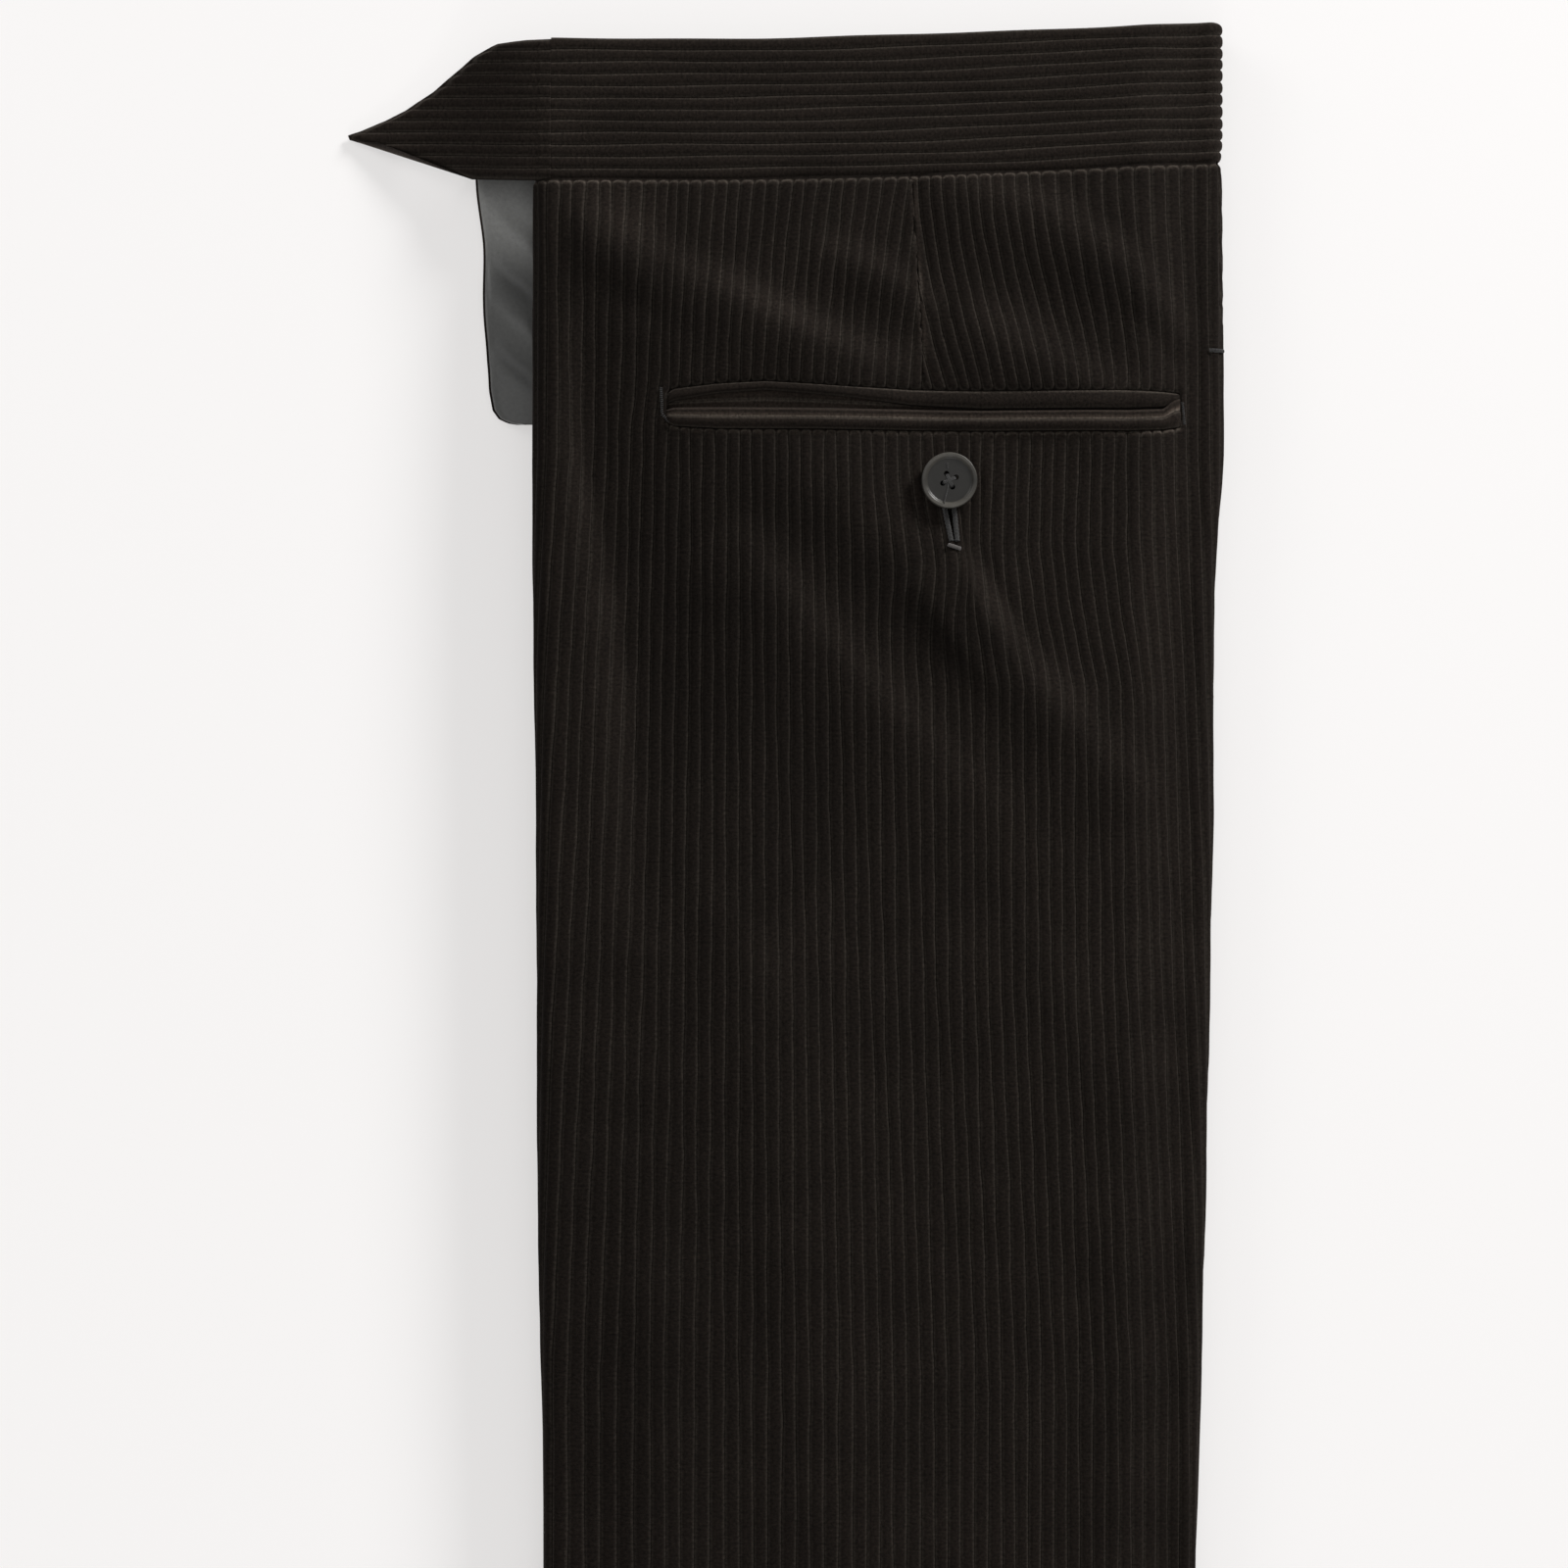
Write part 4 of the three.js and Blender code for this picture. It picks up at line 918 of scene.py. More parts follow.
class MESH_OT_trousers_waistband(Operator):
    """Make the waistband: its wales run along it, over the top and round the side edge"""

    bl_idname = "mesh.trousers_waistband"
    bl_label = "Waistband"

    def execute(self, context):
        rib = context.scene.trousers_sizes.rib / MM
        self.back_band(rib)
        self.end_piece(rib)
        self.hidden_band(rib)
        return {"FINISHED"}

    def back_band(self, rib):
        s = outline(500.0)
        last = s["right_x"] + math.pi * s["rr"] + 8
        run = np.concatenate([np.linspace(BAND_SEAM_X, 96, 90), np.linspace(97, last, 60)])[None, :]
        wales = WAISTBAND_HEIGHT / 12
        u = wale_columns(0, 12)[:, None]
        x, z, tuck, inward = on_path(run, 500.0, seam_turn=math.pi)
        x = np.where(inward > 0, s["right_x"] - np.maximum(0, run - s["right_x"] - math.pi * s["rr"]), x)
        z = np.where(inward > 0, s["low_right"], z)
        low = waist_line(np.minimum(x, s["right"]))
        y = low + wales * u + 0.18 * np.sin(run / 17 + u) + 0.1 * np.sin(run / 7.1 + 2 * u)
        edge = np.minimum(u, 12 - u) * wales
        z = z + 0 * u
        x = x + 0 * u
        points = np.stack([x, y, z], axis=2)
        flat_n = np.stack([normals(points)[:, :, 0], 0 * x, normals(points)[:, :, 2]], axis=2)
        flat_n = flat_n * np.sign(flat_n[:, :1, 2:3] + 1e-9)
        form = rib_form(u + 0 * run)
        uneven = 1 + 0.1 * ripple(run, u * 4, 1.9)
        lift = 0.1 + rib * form * uneven - 0.6 * np.exp(-edge / 0.8) - 0.6 * np.exp(-wales * u / 2.6)
        out = points + flat_n * lift[:, :, None]
        first, final = out[0], out[-1]
        below = [first - flat_n[0] * d + [0, y_in, 0] for d, y_in in ((2.4, 1.2), (1.7, 0.1), (0.7, -0.12))]
        above = [final - flat_n[-1] * d - [0, y_in, 0] for d, y_in in ((0.7, -0.2), (1.7, 0.1), (2.6, 1.4), (2.8, 20))]
        out = np.concatenate([np.stack(below), out, np.stack(above)])
        zero = np.zeros((1, out.shape[1]))
        grow = np.concatenate([zero, zero, zero, form] + [zero] * 4)
        out, grow = out[::-1, ::-1], grow[::-1, ::-1]
        obj, i, j = new_grid("waistband_back_cloth", out, mesh_uv(out[:, :, 1], out[:, :, 0]))
        mark(obj, "rise", grow[j, i])
        mark(obj, "shade", np.full(len(i), BAND_PAINTED_LIGHT))
        hand_over(obj, corduroy(), "corduroy", "waistband_back")

    def end_piece(self, rib):
        """The pointed end: two layers of cloth whose wales are cut off by its slanting edges."""
        end = table(BAND_END, BAND_END_COLUMNS)
        climb = 0.15 * (end["top"][-1] - end["top"])
        end["low"] = np.maximum(end["low"] - climb, WAIST["y"] + 0.001 * (end["x"][-1] - end["x"]))
        end["high"] = end["high"] - climb
        tip = (end["low"][0] + end["high"][0]) / 2
        wales = WAISTBAND_HEIGHT / 12
        y = WAIST["y"] + wales * wale_columns(0, 12)[:, None]
        y = np.clip(y, WAIST["y"] + 0.03, end["high"][-1])
        below = np.interp(-y, -end["low"], end["x"])
        above = np.interp(y, end["high"], end["x"])
        start = np.where(y < tip, below, above) + 0.3 * np.sin(y * 2.1) + 0.2 * np.sin(y * 0.9)
        t = np.concatenate([np.linspace(0, 0.3, 34) ** 1.3 / 0.3**0.3, np.linspace(0.31, 1, 60)])[None, :]
        x = start + (BAND_SEAM_X - 0.02 - start) * t
        low, high = np.interp(x, end["x"], end["low"]), np.interp(x, end["x"], end["high"])
        top = sum(np.interp(x + d, end["x"], end["top"]) for d in (-6, -3, 0, 3, 6)) / 5
        top = np.where(x > -66, np.interp(x, end["x"], end["top"]), top)
        edge = np.minimum(np.minimum(y - low, high - y) + 0.3, (x - start) * 0.6)
        form = rib_form((y - WAIST["y"]) / wales) * smooth((edge + 0.3) / 2.0)
        round_off = 1.1 * (1 - smooth(edge / 1.5))
        z = top - 0.8 - round_off + 0.3 * np.sin(x * 0.16 + y * 0.11)
        z = np.maximum(z, 1.3 + 0 * y)
        y = y + np.interp(x, end["x"], climb)
        points = np.stack([x, y, z + rib * form], axis=2)
        back = np.stack([x, y, np.maximum(0.5, z - 1.6 + 1.2 * round_off)], axis=2)
        out = np.concatenate([points, back[::-1], points[:1]])
        grow = np.concatenate([form, 0 * form, form[:1]])
        obj, i, j = new_grid("waistband_end_cloth", out, mesh_uv(out[:, :, 1], out[:, :, 0]))
        mark(obj, "rise", grow[j, i])
        mark(obj, "shade", np.full(len(i), BAND_PAINTED_LIGHT))
        mesh = bmesh.new()
        mesh.from_mesh(obj.data)
        bmesh.ops.remove_doubles(mesh, verts=mesh.verts, dist=0.01 * MM)
        bmesh.ops.holes_fill(mesh, edges=[e for e in mesh.edges if e.is_boundary], sides=0)
        bmesh.ops.recalc_face_normals(mesh, faces=mesh.faces)
        mesh.to_mesh(obj.data)
        mesh.free()
        hand_over(obj, corduroy(), "corduroy", "waistband_end")

    def hidden_band(self, rib):
        """Waistband of the hidden layers: a flat tube, open at the waist."""
        leg = MESH_OT_trousers_left_leg
        y = np.array([486.8, 487.6] + list(np.linspace(489, 523.4, 14)) + [524.2])[:, None]
        ring, _ = leg.ring(self, y, 0.0)
        ring[:, :, 2] = np.minimum(ring[:, :, 2], 10.4)
        rise = waist_line(ring[:, :, 0]) - WAIST["y"]
        ring[:, :, 1] += rise * ((ring[:, :, 1] - 486.8) / 37.4)
        form = rib_form((y - 486.7) / (WAISTBAND_HEIGHT / 12)) + 0 * ring[:, :, 0]
        roll = [(0.5, 0.8), (0.2, 1.7), (-3.0, 2.0), (-22.0, 2.2)]
        inside = []
        for lift, depth in roll:
            drawn = leg.shrink(self, ring[-1], 0.0, depth)
            drawn[:, 1] = ring[-1][:, 1] + lift
            inside.append(drawn)
        points = np.concatenate([ring, np.stack(inside)])
        grow = np.concatenate([form, np.zeros((len(roll), ring.shape[1]))])
        obj, i, j = new_grid("waistband_folded_cloth", points, mesh_uv(points[:, :, 1], points[:, :, 0]))
        mark(obj, "rise", grow[j, i])
        mark(obj, "shade", np.ones(len(i)))
        leg.close(self, obj)
        hand_over(obj, corduroy(), "corduroy", "waistband_folded")


class MESH_OT_trousers_fly(Operator):
    """Make the fly piece: grey satin lining on corduroy, hanging from under the waistband"""

    bl_idname = "mesh.trousers_fly"
    bl_label = "Fly piece"

    def execute(self, context):
        edge_y, edge_x = np.array(FLY).T
        y = np.concatenate([np.linspace(422.4, 427, 14), np.linspace(428, 486.4, 50), [489.0, 492.5]])[:, None]
        outer = np.interp(y, edge_y, edge_x) + 0.35 * np.sin(y * 0.19)
        self.layer("fly_lining_cloth", y, outer + 0.7, 0.35, satin(), "lining", "fly_lining")
        self.layer("fly_cloth_cloth", y, outer, -1.0, corduroy(), "corduroy", "fly_cloth")
        return {"FINISHED"}

    def layer(self, name, y, outer, lift, material, slot, node_name):
        t = np.linspace(0, 1, 34)[None, :]
        root = np.where(y > 486.5, -68.5, FLY_ROOT_X)
        x = outer + (root - outer) * t
        fall = (FLY_EDGE_Z - FLY_ROOT_Z) / (-82.4 - FLY_ROOT_X)
        z = FLY_ROOT_Z + fall * (x - FLY_ROOT_X) + lift
        soft = 0 * x
        for at, height, width in ((472, 1.5, 5.0), (461, -1.3, 4.0), (449, 1.5, 5.0), (438, -1.0, 3.5)):
            soft = soft + height * np.exp(-(((y - at + 0.75 * (x + 72)) / width) ** 2))
        soft = soft * (0.3 + 0.7 * smooth((x - outer) / 7))
        z = z + soft * smooth((-62 - x) / 9) - 0.7 * (1 - smooth((x - outer) / 1.6))
        z = np.maximum(z, 0.9 + lift - SEAM)
        points = np.stack([x, y + 0 * x, z], axis=2)
        obj, i, j = new_grid(name, points, mesh_uv(x, y + 0 * x))
        mark(obj, "rise", np.ones(len(i)))
        # Painted light and shade on both fly layers: painted lighter towards the waistband, and lighter and darker
        # with the soft folds.
        shade = 0.85 + 1.5 * smooth((y - 458) / 20) + 0.16 * soft
        mark(obj, "shade", shade[j, i])
        thick = obj.modifiers.new("Cloth", "SOLIDIFY")
        thick.thickness = 0.75 * MM
        thick.offset = -1
        bpy.ops.object.modifier_apply(modifier=thick.name)
        hand_over(obj, material, slot, node_name)


class MESH_OT_trousers_pocket(Operator):
    """Make the back pocket: two jets with wales along them and the facing in the gape"""

    bl_idname = "mesh.trousers_pocket"
    bl_label = "Back pocket"

    def execute(self, context):
        rib = context.scene.trousers_sizes.rib / MM
        x = np.linspace(POCKET_LEFT - 0.4, POCKET_RIGHT + 0.4, 190)
        line = {name: np.interp(x, POCKET_LINES["x"], POCKET_LINES[name]) for name in POCKET_COLUMNS}
        foot = top_height(x, line["upper"]) * 0.5 + top_height(x, line["lower"]) * 0.5
        self.lower_jet(x, line, foot, rib)
        self.upper_jet(x, line, foot, rib)
        self.facing(x, line, foot, rib)
        return {"FINISHED"}

    def sweep(self, name, profile, x, wave, node_name, flat, area, shade=1.25):
        """A strip through its cross-section: rows of (y, z, wale form) at each x."""
        y, z, form = (np.array(part) for part in zip(*profile))
        ends = smooth((x - x[0]) / 1.4) * smooth((x[-1] - x) / 1.4)
        wave = wave - 1.3 * (1 - ends)
        points = np.stack([np.broadcast_to(x, y.shape), y, z + wave], axis=2)
        along = np.cumsum(np.linalg.norm(np.diff(points, axis=0, prepend=points[:1]), axis=2), axis=0)
        obj, i, j = new_grid(name, points, mesh_uv(along, points[:, :, 0]))
        mark(obj, "rise", np.broadcast_to(form, y.shape)[j, i])
        # Painted light: each row of the strip is painted lighter by its shade value.
        mark(obj, "shade", (np.reshape(shade, (-1, 1)) + 0 * y)[j, i])
        hand_over(obj, corduroy(), "corduroy", node_name)

    def lower_jet(self, x, line, foot, rib):
        """Two wales run along it; the upper one rolls over into the pocket."""
        width = line["gape_low"] - line["lower"]
        wave = 0.12 * np.sin(x / 13) + 0.06 * np.sin(x / 4.1)
        close = smooth((x - 101.5) / 3.5)
        profile, shade = [], []
        for part in np.linspace(0, 1, 48):
            # Painted light: the lower jet is painted lighter all over, with painted highlight lines where its step and
            # its top edge face the light.
            shade.append(1.45 + 4.2 * math.exp(-(((part - 0.66) / 0.085) ** 2)))
            shade[-1] += 1.6 * math.exp(-(((part - 0.95) / 0.05) ** 2))
            form = float(rib_form(np.array(part * 1.78 + 0.01)))
            rise = 0.1 + 0.95 * math.sin(math.pi / 2 * min(1, part / 0.42))
            rise -= 0.55 * float(smooth((part - 0.52) / 0.12)) + 0.7 * float(smooth((part - 0.9) / 0.1))
            y = line["lower"] + width * part + close * 1.4 * part
            profile.append((y, foot + rise + rib * form, form + 0 * x))
        for turn in np.linspace(0.2, 1, 6):
            y = line["gape_low"] + close * 1.2 + 0.35 * math.sin(turn * math.pi)
            profile.append((y, foot - 0.6 - 2.2 * turn, 0 * x))
        shade += [1.3] * 6
        self.sweep("pocket_jet_lower_cloth", profile, x, wave, "pocket_jet_lower", (0.139, 0.011), None, shade)

    def upper_jet(self, x, line, foot, rib):
        """One wide wale below its seam, its foot rolled under into the pocket."""
        width = line["upper"] - line["jet_foot"]
        wave = 0.14 * np.sin(x / 11 + 1) + 0.05 * np.sin(x / 3.7)
        # Painted light: the upper jet is painted lighter, with a painted highlight line along its top edge.
        profile, shade = [], [1.2] * 6
        for turn in np.linspace(1, 0.2, 6):
            profile.append((line["jet_foot"] + 0.4 * (1 - turn) - 0.2, foot - 0.2 - 1.6 * turn, 0 * x))
        for part in np.linspace(0, 1, 30):
            shade.append(1.2 + 0.9 * math.exp(-(((part - 0.93) / 0.06) ** 2)))
            form = rib_form(np.array(part * 0.96 + 0.02))
            rise = -0.45 + 0.75 * math.sin(math.pi * (0.16 + 0.8 * part))
            y = line["jet_foot"] + width * part
            profile.append((y, foot + rise + rib * form, form + 0 * x))
        self.sweep("pocket_jet_upper_cloth", profile, x, wave, "pocket_jet_upper", (0.139, 0.01), 0.00095,
                   shade)

    def facing(self, x, line, foot, rib):
        """Cloth behind the mouth, its wales along the pocket."""
        x = np.concatenate([[x[0] - 2.4, x[0] - 1.2], x[2:-2], [x[-1] + 1.2, x[-1] + 2.4]])
        profile = []
        for part in np.linspace(0, 1, 44):
            form = rib_form(np.array(part * 5.0))
            y = line["lower"] - 2 + (line["upper"] - line["lower"] + 4) * part
            sag = -2.3 + 1.0 * smooth((part - 0.5) * 5)
            profile.append((y, foot + sag + rib * 0.7 * form, form + 0 * x))
        # Painted light: the facing inside the gape is painted 2.4 times lighter.
        self.sweep("pocket_facing_cloth", profile, x, 0.1 * np.sin(x / 9), "pocket_facing", (0.139, 0.016), None, 2.4)


def thread_curve(name, runs, radius):
    """Thread through the given points, each run a separate strand, as one mesh."""
    curve = bpy.data.curves.new(name, "CURVE")
    curve.dimensions = "3D"
    curve.bevel_depth = radius
    curve.bevel_resolution = 2
    curve.use_fill_caps = True
    for run in runs:
        spline = curve.splines.new("POLY")
        spline.points.add(len(run) - 1)
        for point, place in zip(spline.points, run):
            point.co = (*[c * MM for c in place], 1)
    obj = bpy.data.objects.new(name, curve)
    bpy.context.collection.objects.link(obj)
    bpy.ops.object.select_all(action="DESELECT")
    obj.select_set(True)
    bpy.context.view_layer.objects.active = obj
    bpy.ops.object.convert(target="MESH")
    return bpy.context.active_object


def wound(start, end, half_width, rise, pitch, seed):
    """A strand wound closely round the line from start to end, lying on the cloth."""
    (x0, y0), (x1, y1) = start, end
    length = math.hypot(x1 - x0, y1 - y0)
    across = ((y1 - y0) / length, -(x1 - x0) / length)
    turns = max(2, int(length / pitch))
    t = np.linspace(0, 1, turns * 10 + 1)
    turn = 2 * np.pi * turns * t
    wide = half_width * (1 + 0.12 * np.sin(turn * 0.37 + seed))
    x = x0 + (x1 - x0) * t + across[0] * wide * np.cos(turn)
    y = y0 + (y1 - y0) * t + across[1] * wide * np.cos(turn)
    foot = top_height(x0 + (x1 - x0) * t, y0 + (y1 - y0) * t)
    z = foot + rise + 0.5 * half_width * np.sin(turn)
    return list(zip(x, y, z))


class MESH_OT_trousers_stitches(Operator):
    """Make the stitched parts: buttonhole edges, bar tacks at pocket and side seam"""

    bl_idname = "mesh.trousers_stitches"
    bl_label = "Stitching"

    def execute(self, context):
        radius = context.scene.trousers_sizes.thread
        colour = tuple(context.scene.trousers_finish.thread)
        grey = thread_material("grey sewing thread", colour, 1.3)
        pale = thread_material("pale sewing thread", tuple(c * 7.0 for c in colour), 1.3)
        slit = HOLE_SLIT
        sides = []
        for way in (-1, 1):
            top = (slit["top_x"] - 0.2 + way * (slit["top_half"] + 0.45), slit["top_y"])
            low = (slit["low_x"] + way * (slit["low_half"] + 0.45), slit["low_y"])
            sides.append(wound(top, low, 0.5, 0.75, 0.36, way))
        self.piece("buttonhole_edge_thread", sides, radius, grey, "buttonhole_edge")
        tack = wound((slit["low_x"] - 1.7, slit["low_y"] - 1.0), (slit["low_x"] + 1.7, slit["low_y"] - 2.1),
                     0.36, 1.1, 0.3, 4)
        self.piece("buttonhole_tack_thread", [tack], radius * 1.1, pale, "buttonhole_tack")
        left = wound((POCKET_LEFT - 1.4, 430.8), (POCKET_LEFT - 1.1, 423.6), 0.3, 0.7, 0.5, 5)
        left_foot = wound((POCKET_LEFT - 1.1, 423.6), (POCKET_LEFT + 0.9, 421.6), 0.3, 0.7, 0.5, 6)
        self.piece("pocket_tack_left_thread", [left, left_foot], radius * 0.7, grey, "pocket_tack_left")
        right = wound((POCKET_RIGHT + 0.5, 427.0), (POCKET_RIGHT + 1.1, 421.0), 0.3, 0.7, 0.5, 7)
        self.piece("pocket_tack_right_thread", [right], radius * 0.7, grey, "pocket_tack_right")
        self.piece("side_tack_thread", [self.side_tack()], radius * 0.8, grey, "side_tack")
        return {"FINISHED"}

    def piece(self, name, runs, radius, material, node_name):
        obj = thread_curve(name, runs, radius)
        hand_over(obj, material, "thread", node_name)

    def side_tack(self):
        """A short close row of thread across the side seam."""
        y = 441.2
        s = outline(y)
        turns = 12
        t = np.linspace(0, 1, turns * 8 + 1)
        angle = 0.15 + 1.0 * t
        out = s["rr"] + 1.0 + 0.2 * np.sin(2 * np.pi * turns * t)
        x = s["right_x"] + out * np.sin(angle)
        z = s["low_right"] + s["rr"] + out * np.cos(angle)
        return list(zip(x, y + 0.4 * np.cos(2 * np.pi * turns * t), z))


def button_seat():
    """Centre of the button's underside."""
    x, y = BUTTON["x"], BUTTON["y"]
    z = float(top_height(x, y)) + 0.7 + 1.6
    return Vector((x, y, z))


class MESH_OT_trousers_button(Operator):
    """Make the four-hole button, its thread cross and the loose thread ends"""

    bl_idname = "mesh.trousers_button"
    bl_label = "Button"

    def execute(self, context):
        seat = button_seat()
        self.disc(seat)
        self.thread(seat, context.scene.trousers_sizes.thread, tuple(context.scene.trousers_finish.thread))
        return {"FINISHED"}

    def disc(self, seat):
        radius, thick = BUTTON["radius"], BUTTON["thick"]
        bpy.ops.object.select_all(action="DESELECT")
        bpy.ops.mesh.primitive_cylinder_add(vertices=128, radius=radius * MM, depth=thick * MM,
                                            location=(0, 0, thick / 2 * MM))
        obj = bpy.context.active_object
        obj.name = obj.data.name = "button_disc"
        bpy.ops.object.transform_apply(location=True, rotation=False, scale=False)
        bpy.ops.object.mode_set(mode="EDIT")
        mesh = bmesh.from_edit_mesh(obj.data)
        for face in mesh.faces:
            face.select_set(face.normal.z > 0.5)
        bmesh.update_edit_mesh(obj.data)
        for inward, down in ((0.35, 0.0), (0.75, -0.1), (0.35, -0.5), (0.9, -0.12), (1.2, 0.06), (1.2, 0.04)):
            bpy.ops.mesh.inset(thickness=inward * MM, depth=0)
            bpy.ops.transform.translate(value=(0, 0, down * MM))
        bpy.ops.object.mode_set(mode="OBJECT")
        soften = obj.modifiers.new("Rim", "BEVEL")
        soften.width = 0.55 * MM
        soften.segments = 4
        soften.limit_method = "ANGLE"
        soften.angle_limit = math.radians(40)
        bpy.ops.object.modifier_apply(modifier=soften.name)
        for n in (1, 3, 5, 7):
            self.drill(obj, n * math.pi / 4 + BUTTON["turn"])
        bpy.ops.object.select_all(action="DESELECT")
        obj.select_set(True)
        bpy.context.view_layer.objects.active = obj
        obj.location = seat * MM
        bpy.ops.object.transform_apply(location=True, rotation=False, scale=False)
        bpy.ops.object.shade_smooth_by_angle(angle=math.radians(35))
        keep = [p.use_smooth for p in obj.data.polygons]
        away = [Vector(v.co) / MM - seat for v in obj.data.vertices]
        # Painted highlight: the button's rim is painted up to 5.5 times lighter, most at its top and bottom, where the
        # rim catches the lights.
        rim = [smooth(np.array((math.hypot(p.x, p.y) - 5.7) / 0.4)) * (0.25 + 0.75 * abs(p.y) / 7.45) for p in away]
        mark(obj, "shade", 1 + 4.5 * np.array(rim))
        hand_over(obj, plastic(), "button", "button")
        obj.data.polygons.foreach_set("use_smooth", keep)

    def drill(self, obj, side):
        """One thread hole."""
        place = (BUTTON["pitch"] * math.cos(side) * MM, BUTTON["pitch"] * math.sin(side) * MM, 0)
        bpy.ops.mesh.primitive_cylinder_add(vertices=28, radius=BUTTON["hole"] * MM, depth=12 * MM, location=place)
        tool = bpy.context.active_object
        cut = obj.modifiers.new("Hole", "BOOLEAN")
        cut.operation = "DIFFERENCE"
        cut.object = tool
        cut.solver = "EXACT"
        bpy.context.view_layer.objects.active = obj
        bpy.ops.object.modifier_apply(modifier=cut.name)
        bpy.data.objects.remove(tool, do_unlink=True)

    def thread(self, seat, radius, colour):
        thick, pitch, turn = BUTTON["thick"], BUTTON["pitch"], BUTTON["turn"]
        strands = []
        face = seat.z + thick - 0.75
        for n in (1, 3):
            side = n * math.pi / 4 + turn
            for shift in (-0.28, 0.0, 0.28):
                run = []
                for t in np.linspace(-1, 1, 15):
                    reach = pitch * t
                    deep = -2.4 if abs(t) > 0.98 else (-0.5 if abs(t) > 0.9 else 0.25 * (1 - t * t) + 0.12)
                    x = seat.x + reach * math.cos(side) - shift * math.sin(side)
                    y = seat.y + reach * math.sin(side) + shift * math.cos(side)
                    run.append((x, y, face + deep))
                strands.append(run)
        strands.append([(44.0, 408.0, face - 0.4), (43.7, 408.9, face + 0.25), (43.6, 410.2, face + 0.3)])
        strands.append([(43.9, 405.0, face + 0.3), (43.7, 403.2, face + 0.25), (43.2, 401.2, face + 0.5),
                        (42.8, 399.4, face + 0.75), (42.7, 397.9, face - 0.4), (43.0, 396.6, face - 2.6)])
        for lap in range(7):
            ring = []
            for a in np.linspace(0, 2 * math.pi, 17):
                ring.append((seat.x + 1.5 * math.cos(a), seat.y + 1.5 * math.sin(a), seat.z - 1.5 + 0.26 * lap))
            strands.append(ring)
        middle = thread_material("button thread", tuple(c * 1.5 for c in colour), 1.3)
        obj = thread_curve("button_thread_strands", strands, radius * 0.75)
        hand_over(obj, middle, "thread", "button_thread")


class MESH_OT_trousers_hems(Operator):
    """Make the turned-up hems that show inside the two leg openings"""

    bl_idname = "mesh.trousers_hems"
    bl_label = "Hems"

    def execute(self, context):
        s = {name: float(value) for name, value in outline(-HALF_LENGTH).items()}
        t = np.linspace(0, 1, 60)[None, :]
        y = np.array([-529.4, -528.6, -520.0, -498.0])[:, None]
        x = s["left_x"] + 1 + (s["right_x"] - s["left_x"] - 2) * t + 0 * y
        z = top_height(x, y) - 2.7 - 0.2 * np.sin(t * 9)
        self.layer("hem_right_cloth", x, y, z, "hem_right")
        x = s["left"] + 6 + (s["right"] - s["left"] - 12) * t + 0 * y
        z = 2.3 + 0.2 * np.sin(t * 7) + 0 * y
        self.layer("hem_left_cloth", x, y, z, "hem_left")
        return {"FINISHED"}

    def layer(self, name, x, y, z, node_name):
        points = np.stack([x, y + 0 * x, z + 0 * x], axis=2)
        obj, i, j = new_grid(name, points, mesh_uv(x, y + 0 * x))
        mark(obj, "rise", np.full(len(i), 0.6))
        mark(obj, "shade", np.ones(len(i)))
        thick = obj.modifiers.new("Cloth", "SOLIDIFY")
        thick.thickness = 1.1 * MM
        thick.offset = -1
        bpy.ops.object.modifier_apply(modifier=thick.name)
        hand_over(obj, corduroy(), "corduroy", node_name)


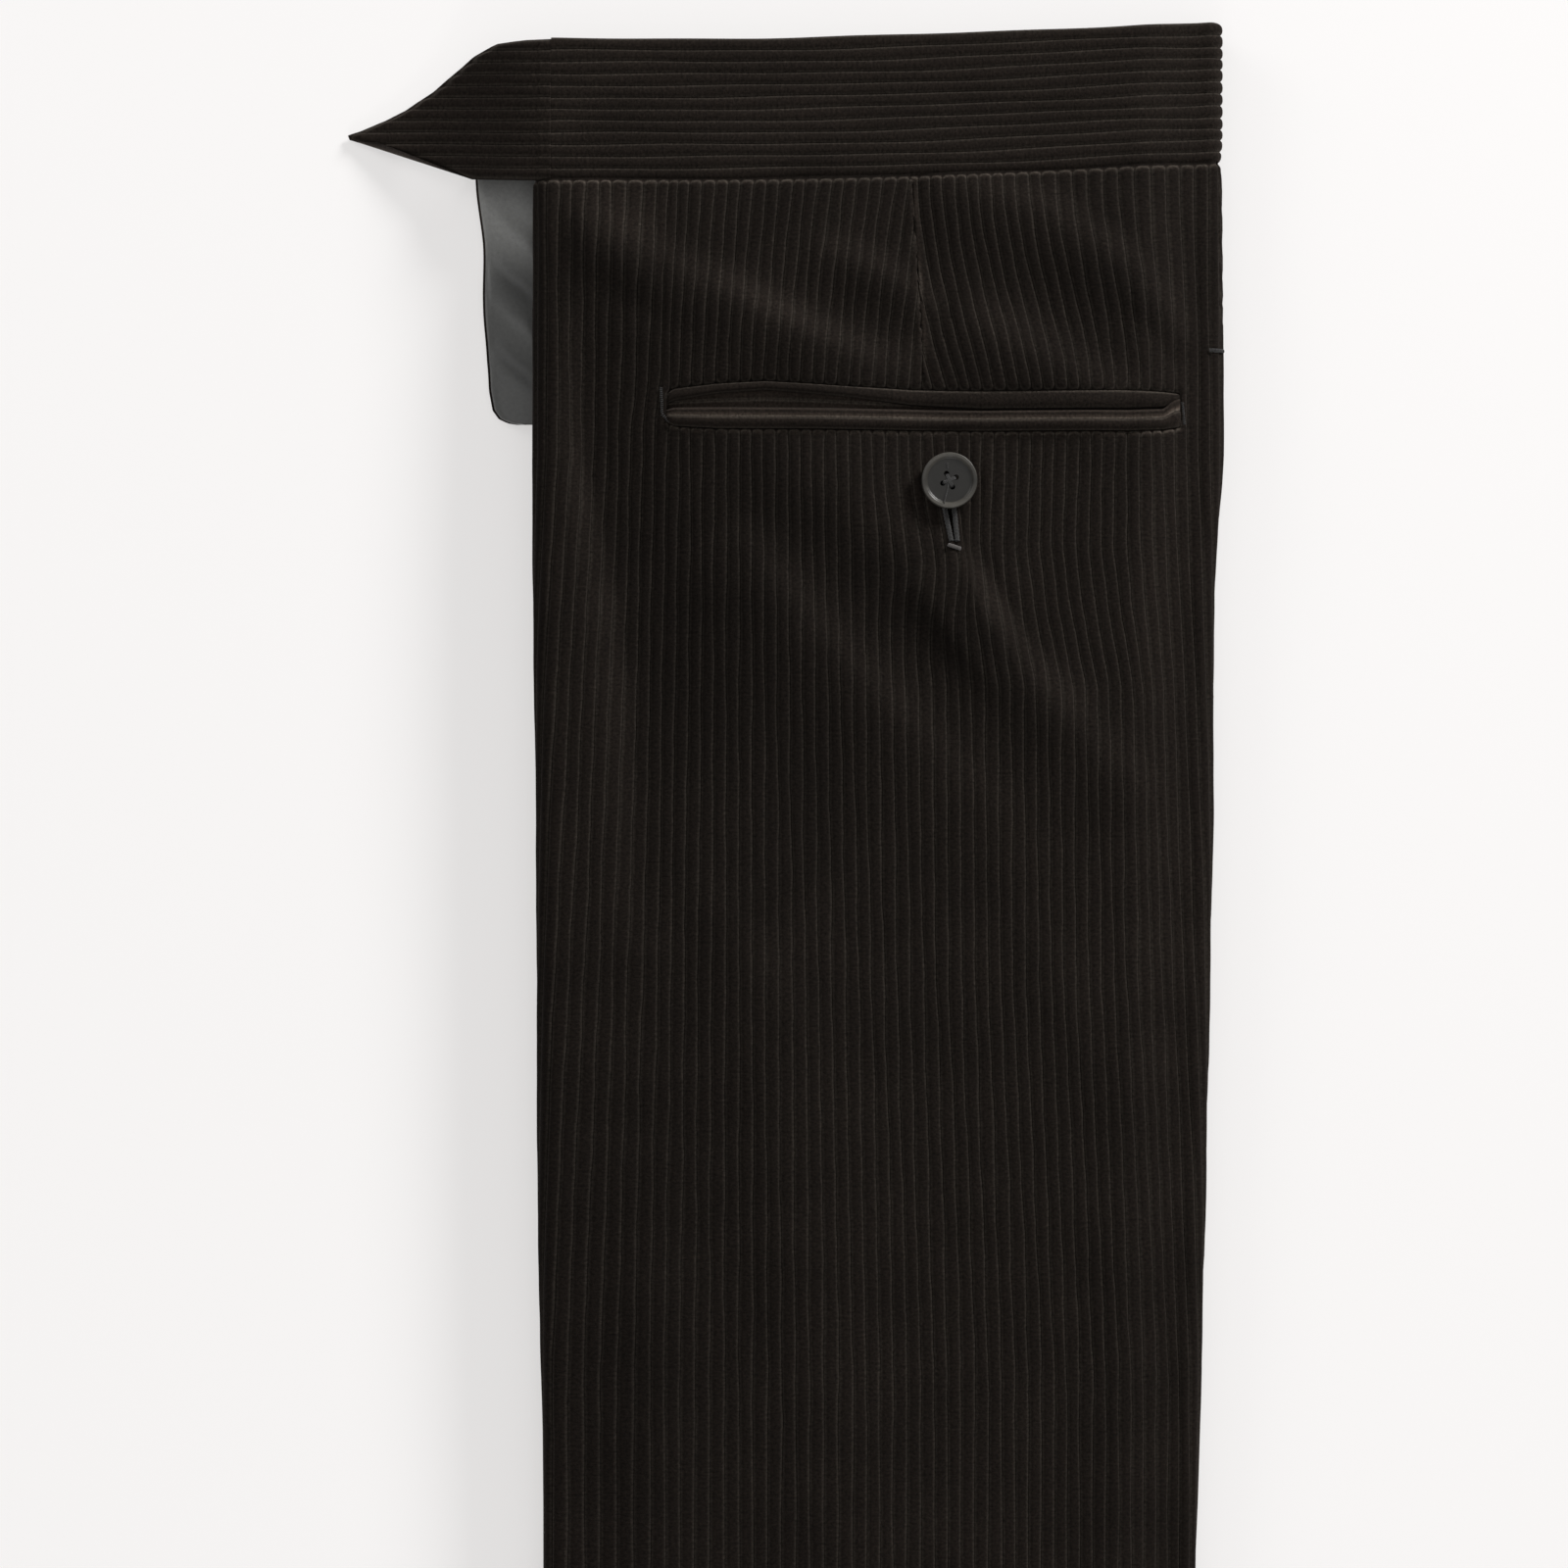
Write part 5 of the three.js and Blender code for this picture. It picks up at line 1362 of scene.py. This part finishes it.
class SCENE_OT_trousers_stage(Operator):
    """Make the floor, the soft studio light and the camera straight above"""

    bl_idname = "scene.trousers_stage"
    bl_label = "Stage"

    def execute(self, context):
        self.floor()
        self.light("Key", (1.83, 2.34, 1.22), 0.9, 108.0)
        self.light("Fill", (-1.5, 1.5, 1.2), 1.0, 9.0)
        self.light("Foot", (0.05, -0.75, 0.75), 0.3, 2.2)
        self.light("Overhead", (0.0, 0.3, 2.2), 2.4, 9.0)
        world = bpy.data.worlds.new("Studio")
        world.use_nodes = True
        world.node_tree.nodes["Background"].inputs["Color"].default_value = (1, 1, 1, 1)
        world.node_tree.nodes["Background"].inputs["Strength"].default_value = 0.32
        context.scene.world = world
        context.scene.view_settings.view_transform = "Standard"
        self.camera(context)
        return {"FINISHED"}

    def floor(self):
        bpy.ops.object.select_all(action="DESELECT")
        bpy.ops.mesh.primitive_plane_add(size=12, location=(0, 0, -0.0002))
        floor = bpy.context.active_object
        floor.name = "Floor"
        material, tree, shader = base_material("pale floor")
        shader.inputs["Base Color"].default_value = (0.36, 0.354, 0.351, 1)
        shader.inputs["Roughness"].default_value = 0.9
        shader.inputs["Specular IOR Level"].default_value = 0.0
        shader.inputs["Emission Color"].default_value = (1.0, 0.982, 0.973, 1)
        shader.inputs["Emission Strength"].default_value = 0.54
        floor.data.materials.append(material)

    def light(self, name, place, size, power):
        data = bpy.data.lights.new(name, "AREA")
        data.shape = "DISK"
        data.size = size
        data.energy = power
        lamp = bpy.data.objects.new(name, data)
        lamp.location = place
        aim = Vector((0, 0.3, 0)) - Vector(place)
        lamp.rotation_euler = aim.to_track_quat("-Z", "Y").to_euler()
        bpy.context.collection.objects.link(lamp)

    def camera(self, context):
        """Straight above: 3.8 pixels a millimetre on the top face, over 1600 pixels."""
        lens, sensor, width = 100.0, 36.0, 1600 / 3.8 * MM
        data = bpy.data.cameras.new("Camera")
        data.lens = lens
        data.sensor_width = sensor
        camera = bpy.data.objects.new("Camera", data)
        camera.location = (0, (534.9 - 800 / 3.8) * MM, width * lens / sensor + 22 * MM)
        context.collection.objects.link(camera)
        context.scene.camera = camera


class VIEW3D_PT_trousers(Panel):
    """Lists the sizes, the colours and the operators of the trousers"""

    bl_label = "Trousers"
    bl_space_type = "VIEW_3D"
    bl_region_type = "UI"
    bl_category = "Trousers"

    def draw(self, context):
        column = self.layout.column()
        for name in TrousersSizes.__annotations__:
            column.prop(context.scene.trousers_sizes, name)
        for name in TrousersFinish.__annotations__:
            column.prop(context.scene.trousers_finish, name)
        for operator in OPERATORS:
            column.operator(operator.bl_idname)


OPERATORS = (
    MESH_OT_trousers_back,
    MESH_OT_trousers_front,
    MESH_OT_trousers_left_leg,
    MESH_OT_trousers_waistband,
    MESH_OT_trousers_fly,
    MESH_OT_trousers_pocket,
    MESH_OT_trousers_stitches,
    MESH_OT_trousers_button,
    MESH_OT_trousers_hems,
    SCENE_OT_trousers_stage,
)
CLASSES = (TrousersSizes, TrousersFinish, *OPERATORS, VIEW3D_PT_trousers)


def register():
    for cls in CLASSES:
        bpy.utils.register_class(cls)
    bpy.types.Scene.trousers_sizes = PointerProperty(type=TrousersSizes)
    bpy.types.Scene.trousers_finish = PointerProperty(type=TrousersFinish)


def unregister():
    del bpy.types.Scene.trousers_finish
    del bpy.types.Scene.trousers_sizes
    for cls in reversed(CLASSES):
        bpy.utils.unregister_class(cls)


def main():
    """Builds every piece in order."""
    register()
    for operator in OPERATORS:
        area, name = operator.bl_idname.split(".")
        getattr(getattr(bpy.ops, area), name)()


if __name__ == "__main__":
    main()
